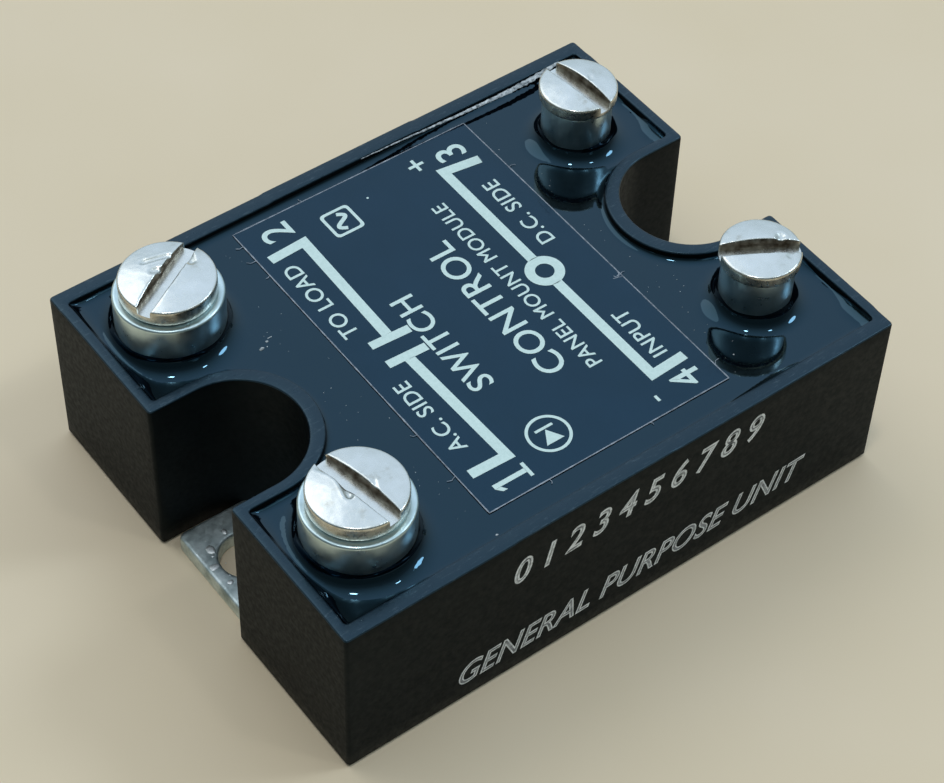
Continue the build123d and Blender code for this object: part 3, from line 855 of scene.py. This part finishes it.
# Crumbs: centre x and y, reach along x and y, height
CRUMBS = [(-16.61, 7.34, 0.26, 0.14, 0.14), (-15.80, 7.80, 0.14, 0.12, 0.08),
          (-15.35, 8.05, 0.24, 0.05, 0.05), (-12.4, -20.1, 0.12, 0.10, 0.06),
          (15.6, -16.4, 0.07, 0.07, 0.05), (-16.1, 7.3, 0.06, 0.06, 0.04)]
OPEN_FLOOR, OPEN_HALF_W = [(-16.5, -12.2), (14.2, 17.6)], 19.0      # beside the label, in x
DUST_Z = POTTING_Z + 0.01
crumbs = [blob(x, y, DUST_Z, rx, ry, h) for x, y, rx, ry, h in CRUMBS]
open_floor = [patch(x0, x1, OPEN_HALF_W, DUST_Z) for x0, x1 in OPEN_FLOOR]
dusty = layered_finish("dried_flux", (0.30, 0.33, 0.34), (0.75, 0.78, 0.78), 0.2, (0.5, 0.7), 0.01)
fine = grown(specks, joined(open_floor), density=0.22, speck_radius=0.035, flatness=0.6, seed=5,
             material=dusty)
new_piece("dust_and_crumbs", joined([*crumbs, fine]), dusty)

# ------------------------------------------------------------------ label
# Dark clear-coated film, 25.1 x 38 mm, laid slightly askew on the epoxy. Its cut edge and the
# whiskers torn from it are painted pale as a highlight. The print is pale: terminal numbers, the contact and
# coil signs, general words.

LABEL_SIZE, LABEL_AT, LABEL_TURN = (25.1, 37.95), (1.10, 0.85), math.radians(-0.46)
LABEL_Z, LABEL_T = 16.83, 0.06
# on_label takes print drawn with +X along the lines of words and +Y towards their tops
on_label = Matrix.Translation((*LABEL_AT, LABEL_Z + LABEL_T))
on_label @= Matrix.Rotation(LABEL_TURN + math.radians(90), 4, "Z")


def label_film():
    finish = new_finish("label_film", IOR=1.66, Specular_Tint=(0.30, 0.70, 1.0, 1.0))
    body = graded(finish, grain(finish, 5.0, 5.0), (0.3, (0.0015, 0.003, 0.009)),
                  (0.7, (0.003, 0.007, 0.018)))
    gloss = graded(finish, grain(finish, 0.5, 8.0, rough=0.7), (0.4, 0.10), (0.75, 0.24))
    return dressed(finish, body, gloss, (grain(finish, 1.6, 4.0), 0.006), (grain(finish, 0.08, 2.0), 0.0008))


half_w, half_l = LABEL_SIZE[0] / 2, LABEL_SIZE[1] / 2
film_corners = [(-half_l, -half_w), (half_l, -half_w), (half_l, half_w), (-half_l, half_w)]
film = bmesh.new()
grid = [(x, y) for x in np.arange(-18.4, 18.5, 0.8) for y in np.arange(-12.0, 12.1, 0.8)]
flat, faces = sheet_between(rounded(film_corners, 0.15), (), grid)
add_sheet(film, [(x, y, 0.008 * noise.noise(Vector((x * 0.3, y * 0.3, 1.0)))) for x, y in flat], faces)
add_skirt(film, -LABEL_T)
film.transform(on_label)
new_piece("label_film_cut", mesh_from(film, 60), label_film(), ["label_film"])


# Pale paint on the cut edge and its whiskers: a painted highlight
def painted_edge_highlight():
    finish = new_finish("film_cut_edge")
    shade = graded(finish, grain(finish, 0.8, 8.0, rough=0.8), (0.35, (0.10, 0.12, 0.15)),
                   (0.65, (0.48, 0.52, 0.58)))
    gloss = graded(finish, grain(finish, 0.2), (0.3, 0.3), (0.7, 0.6))
    return dressed(finish, shade, gloss, (grain(finish, 0.2), 0.01))


def thread_line(points, width):
    """A thin raised line along 2-D points, slightly uneven in width."""
    work = bmesh.new()
    count = len(points)
    rows = []
    for i, p in enumerate(points):
        ahead = Vector(points[min(i + 1, count - 1)]) - Vector(points[max(i - 1, 0)])
        across = Vector((-ahead.y, ahead.x)).normalized()
        here = Vector(p)
        w = width * (0.75 + 0.7 * abs(noise.noise(Vector((here.x * 1.3, here.y * 1.3, width)))))
        section = ((-1, 0.0), (0, w * 0.5), (1, 0.0))
        rows.append([work.verts.new((*(here + across * w * s), z)) for s, z in section])
    for a, b in zip(rows, rows[1:]):
        for k in (0, 1):
            work.faces.new((a[k], b[k], b[k + 1], a[k + 1]))
    work.transform(on_label)
    mesh = bpy.data.meshes.new("line")
    work.to_mesh(mesh)
    work.free()
    return mesh


def finely(corners, step=0.25):
    """Points every step along a polyline."""
    points = []
    for a, b in zip(corners, corners[1:]):
        points += straight(a, b, max(2, int(math.dist(a, b) / step)))
    return points + [corners[-1]]


# Whiskers torn from the film's edge: foot x and y, heading in degrees, reach
WHISKERS = [(17.3, half_w, 80, 0.7), (15.2, half_w, 70, 0.9), (13.1, half_w, 110, 0.5),
            (-14.3, half_w, 95, 0.9), (-9.0, half_w, 60, 0.6), (half_l, 5.2, 20, 0.5),
            (12.0, -half_w, -100, 0.7), (-17.2, -half_w, -60, 0.8), (-half_l, -4.0, 200, 0.4),
            (-half_l, 6.5, 170, 0.5), (-4.2, -half_w, 100, 0.9), (-4.6, -half_w, 55, 0.8),
            (-3.8, -half_w, 140, 0.7), (-4.3, -half_w, -80, 0.5)]
lines = [thread_line(finely([*film_corners, film_corners[0]]), 0.06)]
for x, y, heading, reach in WHISKERS:
    turn = math.radians(heading)
    tip = (x + reach * math.cos(turn), y + reach * math.sin(turn))
    elbow = (x + reach * 0.6 * math.cos(turn + 0.35), y + reach * 0.6 * math.sin(turn + 0.35))
    lines.append(thread_line(finely([(x, y), elbow, tip], 0.1), 0.03))
new_piece("label_cut_edge", joined(lines), painted_edge_highlight())


def pale_ink():
    finish = new_finish("pale_print")
    shade = graded(finish, grain(finish, 0.3, 8.0, rough=0.75), (0.3, (0.60, 0.76, 0.72)),
                   (0.6, (0.72, 0.88, 0.84)))
    gloss = graded(finish, grain(finish, 0.3), (0.3, 0.32), (0.7, 0.5))
    return dressed(finish, shade, gloss, (grain(finish, 0.12), 0.003))


def stripe(points, width):
    """Flat band along a polyline with square ends and mitred corners."""
    path = [Vector(p) for p in points]
    left, right = [], []
    for i, here in enumerate(path):
        near = path[max(i - 1, 0):i + 2]
        ways = [(b - a).normalized() for a, b in zip(near, near[1:])]
        normals = [Vector((-w.y, w.x)) for w in ways]
        mitre = sum(normals, Vector((0, 0))).normalized()
        reach = width / 2 / mitre.dot(normals[0])
        left.append(here + mitre * reach)
        right.append(here - mitre * reach)
    return [tuple(p) for p in left] + [tuple(p) for p in reversed(right)]


def printed(outline, hole=None):
    """A printed shape as a mesh, drawn on the label."""
    flat, faces = sheet_between(outline, [hole] if hole else ())
    return mesh_of(at_height(flat, 0.0), faces=faces)


BAR = 0.98
prints = [
    printed(stripe([(14.5, 11.55), (14.7, 7.9), (1.6, 8.2)], BAR)),
    printed(stripe([(1.25, 10.15), (1.05, 6.2)], BAR * 0.9)),
    printed(stripe([(-1.3, 10.15), (-1.45, 6.2)], BAR * 0.9)),
    printed(stripe([(-1.8, 8.2), (-15.0, 7.8), (-14.9, 11.5)], BAR)),
    printed(stripe([(14.3, -11.0), (14.8, -7.3), (1.5, -7.3)], BAR)),
    printed(stripe([(-1.9, -7.4), (-15.0, -7.5), (-14.8, -11.1)], BAR)),
    printed(ring_points((-0.2, -7.35), 1.78, 40), ring_points((-0.2, -7.35), 0.86, 40)),
    printed(ring_points((-15.1, 3.6), 2.0, 48), ring_points((-15.1, 3.6), 1.72, 48)),
    printed([(-16.1, 2.7), (-14.6, 3.6), (-16.1, 4.5)]),
    printed(stripe([(-14.4, 2.7), (-14.4, 4.5)], 0.26)),
    printed(rounded([(13.3, 2.2), (16.5, 2.2), (16.5, 5.2), (13.3, 5.2)], 0.5, 6),
            rounded([(13.6, 2.5), (16.2, 2.5), (16.2, 4.9), (13.6, 4.9)], 0.35, 6)),
    printed(stripe([(13.95 + 0.12 * i, 3.7 + 0.62 * math.sin(i * math.pi / 8)) for i in range(17)], 0.4)),
    printed(stripe([(-17.1, 10.75), (-17.1, 7.5)], 0.48)),
    printed([(-17.36, 10.74), (-17.36, 10.2), (-17.85, 9.85), (-17.85, 10.3)]),
    printed(stripe([(-17.9, 7.35), (-16.3, 7.35)], 0.34)),
    printed(ring_points((16.0, 0.2), 0.11, 12)),
]
# Words on the label: centre x and y, size. The digit 1 is drawn above, from three shapes
WORDS = [("2", 17.0, 9.1, 4.1), ("3", 16.5, -9.4, 4.1), ("4", -16.9, -9.8, 4.0), ("+", 16.9, -5.9, 3.2),
         ("-", -17.3, -5.95, 2.6), ("A.C. SIDE", -8.0, 10.5, 2.1), ("TO LOAD", 8.0, 10.6, 2.2),
         ("D.C. SIDE", 6.9, -9.9, 2.15), ("INPUT", -10.7, -9.6, 2.1), ("SWITCH", -1.8, 4.8, 3.25),
         ("CONTROL", -1.2, -1.35, 3.65), ("PANEL MOUNT MODULE", 0.1, -4.4, 2.0)]
for text, x, y, size in WORDS:
    word = lettering(text, size, 0.008 * size)
    word.transform(Matrix.Translation((x, y, 0)))
    prints.append(word)
art = joined(prints)
PRINT_PROUD = 0.02
art.transform(on_label @ Matrix.Translation((0, 0, PRINT_PROUD)))
new_piece("label_print", art, pale_ink())

# ------------------------------------------------------------------ terminal screws
# Slotted pan-head machine screws, steel, cold-headed, thread-rolled and nickel-plated: #8-32 at
# the load end, #6-32 at the control end, screwed into the posts. Slipped drivers wore the slots
# open and dented the heads. The slots' walls carry painted shade, the heads' sides a painted brown shade.

PITCH = 0.794
LOAD_SCREW = {"head_r": 4.2, "head_h": 2.05, "side_h": 1.65, "thread_r": 2.06, "shank": 9.4,
              "slot_w": 1.2}
CONTROL_SCREW = {"head_r": 3.55, "head_h": 1.74, "side_h": 1.35, "thread_r": 1.73, "shank": 7.8,
                 "slot_w": 1.15}
SLOT_DEPTH, THREAD_DEPTH = 1.1, 0.45
BOW_STEPS, SLOT_STEPS = 64, 56          # points round a half head's bow and along its slot
# Screw and how far its slot is turned from the X axis, in degrees
SCREWS = {1: (LOAD_SCREW, -79.9), 2: (LOAD_SCREW, 29.5), 3: (CONTROL_SCREW, -84.1), 4: (CONTROL_SCREW, -31.5)}
# Dents in the heads: start, end, width and depth, from the head's centre
DENTS = {
    1: [((-0.6, 1.6), (-1.1, -0.5), 0.42, 0.28), ((-1.4, 3.4), (-0.6, 1.6), 0.34, 0.14),
        ((0.9, -1.2), (1.3, -0.4), 0.3, 0.08)],
    2: [((-0.8, 2.4), (1.3, 1.85), 0.34, 0.20), ((2.5, 0.2), (2.8, 0.9), 0.5, 0.22),
        ((-0.7, 1.0), (-0.3, 0.9), 0.4, 0.2)],
    3: [((-0.55, 0.2), (-0.45, 0.7), 0.35, 0.15), ((1.2, -0.3), (1.4, 0.1), 0.3, 0.08)],
    4: [((1.9, -0.3), (2.2, 0.0), 0.5, 0.2), ((1.3, -2.2), (1.8, -1.9), 0.35, 0.12)],
}


def worked_out(tree, operation, first, second):
    """The result of one sum inside a tree."""
    return put(tree, "ShaderNodeMath", {0: first, 1: second}, operation=operation).outputs[0]


def raised_by(tree, mesh, height):
    place = put(tree, "ShaderNodeCombineXYZ", {"Z": height}).outputs[0]
    moved = put(tree, "GeometryNodeTransform", {"Geometry": mesh, "Translation": place})
    return moved.outputs["Geometry"]


def thread_tree():
    """Shank core with a V thread wound round it, hanging down from the origin."""
    sizes = {"Thread Radius": 2.0, "Thread Depth": THREAD_DEPTH, "Length": 9.0, "Pitch": PITCH,
             "Material": bpy.data.materials[0]}
    tree, start, end = new_tree("threaded_shank", sizes)
    out = start.outputs
    root = worked_out(tree, "SUBTRACT", out["Thread Radius"], out["Thread Depth"])
    core = put(tree, "GeometryNodeMeshCylinder", {"Vertices": 48, "Radius": root, "Depth": out["Length"]})
    core = raised_by(tree, core.outputs["Mesh"], worked_out(tree, "MULTIPLY", out["Length"], -0.5))
    wound = worked_out(tree, "SUBTRACT", out["Length"], 0.9)
    turns = worked_out(tree, "DIVIDE", wound, out["Pitch"])
    inputs = {"Resolution": 32, "Rotations": turns, "Start Radius": root, "End Radius": root, "Height": wound}
    helix = put(tree, "GeometryNodeCurveSpiral", inputs)
    upright = put(tree, "GeometryNodeSetCurveNormal", {"Curve": helix.outputs["Curve"]}, mode="Z_UP")
    profile = put(tree, "GeometryNodeMeshToCurve", {"Mesh": out["Geometry"]})
    inputs = {"Curve": upright.outputs["Curve"], "Profile Curve": profile.outputs["Curve"], "Fill Caps": True}
    thread = put(tree, "GeometryNodeCurveToMesh", inputs)
    thread = raised_by(tree, thread.outputs["Mesh"], worked_out(tree, "SUBTRACT", 0.35, out["Length"]))
    both = put(tree, "GeometryNodeJoinGeometry", {"Geometry": core})
    tree.links.new(thread, both.inputs["Geometry"])
    close_tree(tree, (start, end), both.outputs["Geometry"])
    return tree


# Loops up a half head: drop below the crown, inset from the bow, inset and wear at the slot
HEAD_STEPS = [(0.55, 0.0, 0.0, 0.0), (0.32, 0.0, 0.01, 0.45), (0.14, 0.0, 0.03, 0.85),
              (0.065, 0.025, 0.06, 0.96), (0.02, 0.075, 0.10, 1.0), (0.0, 0.14, 0.16, 1.03)]
# Loops up the disc under the slot: height, and inset from the rim
DISC_STEPS = [(0.01, 0.36), (0.05, 0.20), (0.14, 0.08), (0.28, 0.01), (0.40, 0.0)]
WEAR = 0.20                             # how far drivers opened the slot in its middle
THROWN_UP = 0.07                        # the ring round a dent, as a part of its depth


def dent_depth(x, y, dents):
    """How deep the dents are at a place on the head, and the metal thrown up round them."""
    sunk = 0.0
    for (x0, y0), (x1, y1), width, depth in dents:
        run_x, run_y = x1 - x0, y1 - y0
        t = min(max(((x - x0) * run_x + (y - y0) * run_y) / (run_x ** 2 + run_y ** 2), 0.0), 1.0)
        away = math.hypot(x - x0 - t * run_x, y - y0 - t * run_y) / width
        sunk += depth * max(0.0, 1 - away ** 2) ** 1.5
        sunk -= THROWN_UP * depth * math.exp(-((away - 1.2) / 0.25) ** 2)
    return sunk


def crown(screw, turn, dents, along, across, drop=0.0):
    """A point on the head's worn crown, from its place along and across the slot."""
    x = along * math.cos(turn) - across * math.sin(turn)
    y = along * math.sin(turn) + across * math.cos(turn)
    rise = (screw["head_h"] - screw["side_h"]) * (1 - (along ** 2 + across ** 2) / screw["head_r"] ** 2)
    waves = 0.02 * noise.noise(Vector((x * 0.7, y * 0.7, turn)))
    waves += 0.006 * noise.noise(Vector((x * 2.5, y * 2.5, turn)))
    z = min(screw["side_h"] + rise - dent_depth(x, y, dents) + waves, screw["head_h"] + 0.03)
    return (x, y, z - drop)


def half_outline(screw, side, bow_inset=0.0, slot_inset=0.0, wear=0.0):
    """Half of the head seen from above: its bow, then its edge along the slot."""
    radius = screw["head_r"] - bow_inset
    edge = screw["slot_w"] / 2 + slot_inset
    start = math.asin(edge / radius)
    outline = arc((0, 0), radius, math.degrees(start), 180 - math.degrees(start), BOW_STEPS)
    end = radius * math.cos(start)
    for along in np.linspace(-end, end, SLOT_STEPS)[1:-1]:
        hollow = 1 - (along / end) ** 2
        torn = 0.035 * noise.noise(Vector((along * 1.6, side * 3.0, screw["head_r"])))
        torn += 0.02 * noise.noise(Vector((along * 5.0, side * 7.0, screw["head_r"])))
        outline.append((along, edge + wear * hollow * (WEAR + torn)))
    return [(side * along, side * across) for along, across in outline]


def slotted_head(screw, turn, dents):
    """Head with a worn slot: a disc up to the slot's floor, and two crowned halves on it."""
    work = bmesh.new()
    radius, floor_z = screw["head_r"], screw["head_h"] - SLOT_DEPTH
    spin = Matrix.Rotation(turn, 3, "Z")

    def turned(outline, z, inset=0.0):
        """The outline at a height, turned with the slot and drawn in."""
        shrink = 1 - inset / radius
        return [tuple(spin @ Vector((x * shrink, y * shrink, z))) for x, y in outline]

    start = math.degrees(math.asin(screw["slot_w"] / 2 / radius))
    mouth = arc((0, 0), radius, -start, start, 6)
    bow = arc((0, 0), radius, start, 180 - start, BOW_STEPS)
    half_rim = mouth[:-1] + bow[:-1]
    rim = half_rim + [(-x, -y) for x, y in half_rim]
    rings = add_lofted(work, [turned(rim, z, inset) for z, inset in [*DISC_STEPS, (floor_z, 0.0)]])
    work.faces.new(rings[0])
    brink = half_outline(screw, 1)[BOW_STEPS + 1:]
    half_floor = mouth + brink[::-1]
    flat, faces = sheet_between(half_floor + [(-x, -y) for x, y in half_floor])
    add_sheet(work, turned(flat, floor_z), faces)
    for side in (-1, 1):
        loops = [turned(half_outline(screw, side), floor_z)]
        for drop, bow_inset, slot_inset, wear in HEAD_STEPS:
            outline = half_outline(screw, side, bow_inset, slot_inset, wear)
            loops.append([crown(screw, turn, dents, x, y, drop) for x, y in outline])
        add_lofted(work, loops)
        grid = np.arange(-4.2, 4.21, 0.15)      # wide enough for the larger head
        spots = [(x, y) for x in grid for y in grid]
        keep = inside(spots, half_outline(screw, side, 0.22, 0.24, 1.05))
        flat, faces = sheet_between(outline, (), [spot for spot, kept in zip(spots, keep) if kept])
        add_sheet(work, [crown(screw, turn, dents, x, y) for x, y in flat], faces)
    return mesh_from(work, 42)


def bright_nickel():
    finish = new_finish("bright_nickel", Metallic=1.0)
    dirt = graded(finish, grain(finish, 1.6, 8.0), (0.24, (0.50, 0.49, 0.43)), (0.38, (0.68, 0.70, 0.67)),
                  (0.7, (0.76, 0.78, 0.76)))
    gloss = graded(finish, grain(finish, 0.6, 9.0, rough=0.7), (0.35, 0.20), (0.7, 0.34))
    brushed = grain(finish, 0.10, 4.0, (8, 1, 1))
    return dressed(finish, dirt, gloss, (brushed, 0.002), (grain(finish, 0.9, 5.0), 0.012))


def tarnished_nickel():
    """The same plating on the heads' steep sides, smoother, with painted brown shade in its colour."""
    finish = new_finish("tarnished_nickel", Metallic=1.0)
    # Painted brown shade on the heads' steep sides
    stain = graded(finish, grain(finish, 1.1, 7.0, (1, 1, 0.6)), (0.3, (0.46, 0.43, 0.35)),
                   (0.5, (0.64, 0.63, 0.56)), (0.7, (0.76, 0.77, 0.73)))
    gloss = graded(finish, grain(finish, 0.4, 8.0), (0.3, 0.22), (0.7, 0.36))
    brushed = grain(finish, 0.12, 3.0, (1, 1, 6))
    return dressed(finish, stain, gloss, (brushed, 0.002), (grain(finish, 0.8, 4.0), 0.006))


nickel, shaded_sides = bright_nickel(), tarnished_nickel()
# Slot walls: painted shade, dark brown on the nickel
shaded_slot = layered_finish("slot_grime", (0.13, 0.10, 0.07), (0.46, 0.42, 0.35), 0.7, (0.3, 0.45), 0.006, 1.0)
threads = thread_tree()
thread_section = mesh_of([(THREAD_DEPTH, 0.0, 0.0), (-0.08, 0.36, 0.0), (-0.08, -0.36, 0.0)],
                         [(0, 1), (1, 2), (2, 0)])
for number, (screw, slot_turn) in SCREWS.items():
    post, side = TERMINALS[number]
    head = slotted_head(screw, math.radians(slot_turn), DENTS[number])
    shank = grown(threads, thread_section.copy(), thread_radius=screw["thread_r"],
                  thread_depth=THREAD_DEPTH, length=screw["shank"], pitch=PITCH, material=nickel)
    shank.transform(Matrix.Translation((0, 0, 0.05)))
    whole = joined([head, shank])
    whole.transform(Matrix.Translation((post["x"], side * post["y"], post["top"])))
    turned_screw = new_piece(f"slotted_screw_{number}", whole, nickel,
                             [f"terminal_screw_{number}"], f"screw_{number}")
    turned_screw.data.materials.append(shaded_sides)
    turned_screw.data.materials.append(shaded_slot)
    # Steep faces of the head: painted brown shade round its side, painted shade in its slot
    for face in turned_screw.data.polygons:
        away = math.hypot(face.center.x / MM - post["x"], face.center.y / MM - side * post["y"])
        if abs(face.normal.z) < 0.6 and face.center.z > post["top"] * MM:
            face.material_index = 1 if away > screw["head_r"] - 0.1 else 2

# ------------------------------------------------------------------ floor, light and camera
# A pale floor, soft light from above and from beyond the relay, and a long-lens camera.

FLOOR_HALF = 3.0                        # metres, like everything from here on but the camera's aim
floor_mesh = patch(-FLOOR_HALF, FLOOR_HALF, FLOOR_HALF, 0)
floor = bpy.data.objects.new("floor", floor_mesh)
bpy.context.scene.collection.objects.link(floor)
pale = new_finish("pale_floor", Roughness=0.9)
floor_shade = graded(pale, grain(pale, 40.0, 3.0), (0.3, (0.84, 0.68, 0.47)), (0.7, (0.88, 0.72, 0.52)))
wire_in(pale, "Base Color", floor_shade)
floor_mesh.materials.append(pale)


LIGHT_DISTANCE = 1.2


def softbox(name, azimuth, elevation, size, power, colour):
    """Area light aimed at the relay; azimuth 0 stands on the -Y side, 90 on the +X side."""
    a, e = math.radians(azimuth), math.radians(elevation)
    toward = Vector((math.sin(a) * math.cos(e), -math.cos(a) * math.cos(e), math.sin(e)))
    light = bpy.data.lights.new(name, "AREA")
    light.shape, light.size, light.energy, light.color = "DISK", size, power, colour
    lamp = bpy.data.objects.new(name, light)
    lamp.location = toward * LIGHT_DISTANCE
    lamp.rotation_euler = toward.to_track_quat("Z", "Y").to_euler()
    bpy.context.scene.collection.objects.link(lamp)


# Azimuth, elevation, size in metres, watts and colour
softbox("window_right", 65, 44, 0.28, 2.3, (0.72, 0.87, 1.0))
softbox("back_left", 195, 50, 0.9, 1.9, (1.0, 0.97, 0.92))
softbox("ceiling_lamp", -60, 80, 0.11, 1.5, (1.0, 0.99, 0.97))
softbox("task_lamp", 32, 62, 0.09, 0.5, (0.92, 0.97, 1.0))

world = bpy.data.worlds.new("studio")
bpy.context.scene.world = world
world.use_nodes = True
room = world.node_tree
BRIGHTEST_WAY = (0.35, 0.45, 0.82)      # the room is brightest up there, and darkest opposite
facing = put(room, "ShaderNodeVectorMath", {1: BRIGHTEST_WAY}, operation="DOT_PRODUCT")
room.links.new(put(room, "ShaderNodeTexCoord").outputs["Generated"], facing.inputs[0])
shade = put(room, "ShaderNodeValToRGB", {"Fac": facing.outputs["Value"]})
ROOM_TONES = [(0.0, (0.08, 0.10, 0.10)), (0.35, (0.15, 0.18, 0.19)), (0.7, (0.42, 0.53, 0.60)),
              (1.0, (0.66, 0.80, 0.96))]
while len(shade.color_ramp.elements) < len(ROOM_TONES):
    shade.color_ramp.elements.new(0.5)
for element, (place, tone) in zip(shade.color_ramp.elements, ROOM_TONES):
    element.position, element.color = place, (*tone, 1)
room.links.new(shade.outputs["Color"], room.nodes["Background"].inputs["Color"])
room.nodes["Background"].inputs["Strength"].default_value = 1.15

# The camera looks at a point 10 mm up, a little to one side; distances in mm
CAMERA_AZIMUTH, CAMERA_ELEVATION, CAMERA_ROLL = (math.radians(a) for a in (-38.252, 49.106, 2.049))
CAMERA_DISTANCE, AIM_ACROSS, AIM_UP, AIM_Z = 226.059, 0.303, -1.924, 10.0
camera_data = bpy.data.cameras.new("camera")
camera_data.sensor_width = 36.0
camera_data.lens = 98.24
camera_data.clip_start, camera_data.clip_end = 0.01, 20.0
back = Vector((math.sin(CAMERA_AZIMUTH) * math.cos(CAMERA_ELEVATION),
               -math.cos(CAMERA_AZIMUTH) * math.cos(CAMERA_ELEVATION), math.sin(CAMERA_ELEVATION)))
right = Vector((0, 0, 1)).cross(back).normalized()
above = back.cross(right)
target = right * AIM_ACROSS + above * AIM_UP + Vector((0, 0, AIM_Z))
rolled_right = right * math.cos(CAMERA_ROLL) + above * math.sin(CAMERA_ROLL)
rolled_above = above * math.cos(CAMERA_ROLL) - right * math.sin(CAMERA_ROLL)
camera = bpy.data.objects.new("camera", camera_data)
camera.matrix_world = Matrix((rolled_right, rolled_above, back)).transposed().to_4x4()
camera.matrix_world.translation = (target + back * CAMERA_DISTANCE) * MM
bpy.context.scene.collection.objects.link(camera)
bpy.context.scene.camera = camera
bpy.context.scene.view_settings.view_transform = "Standard"
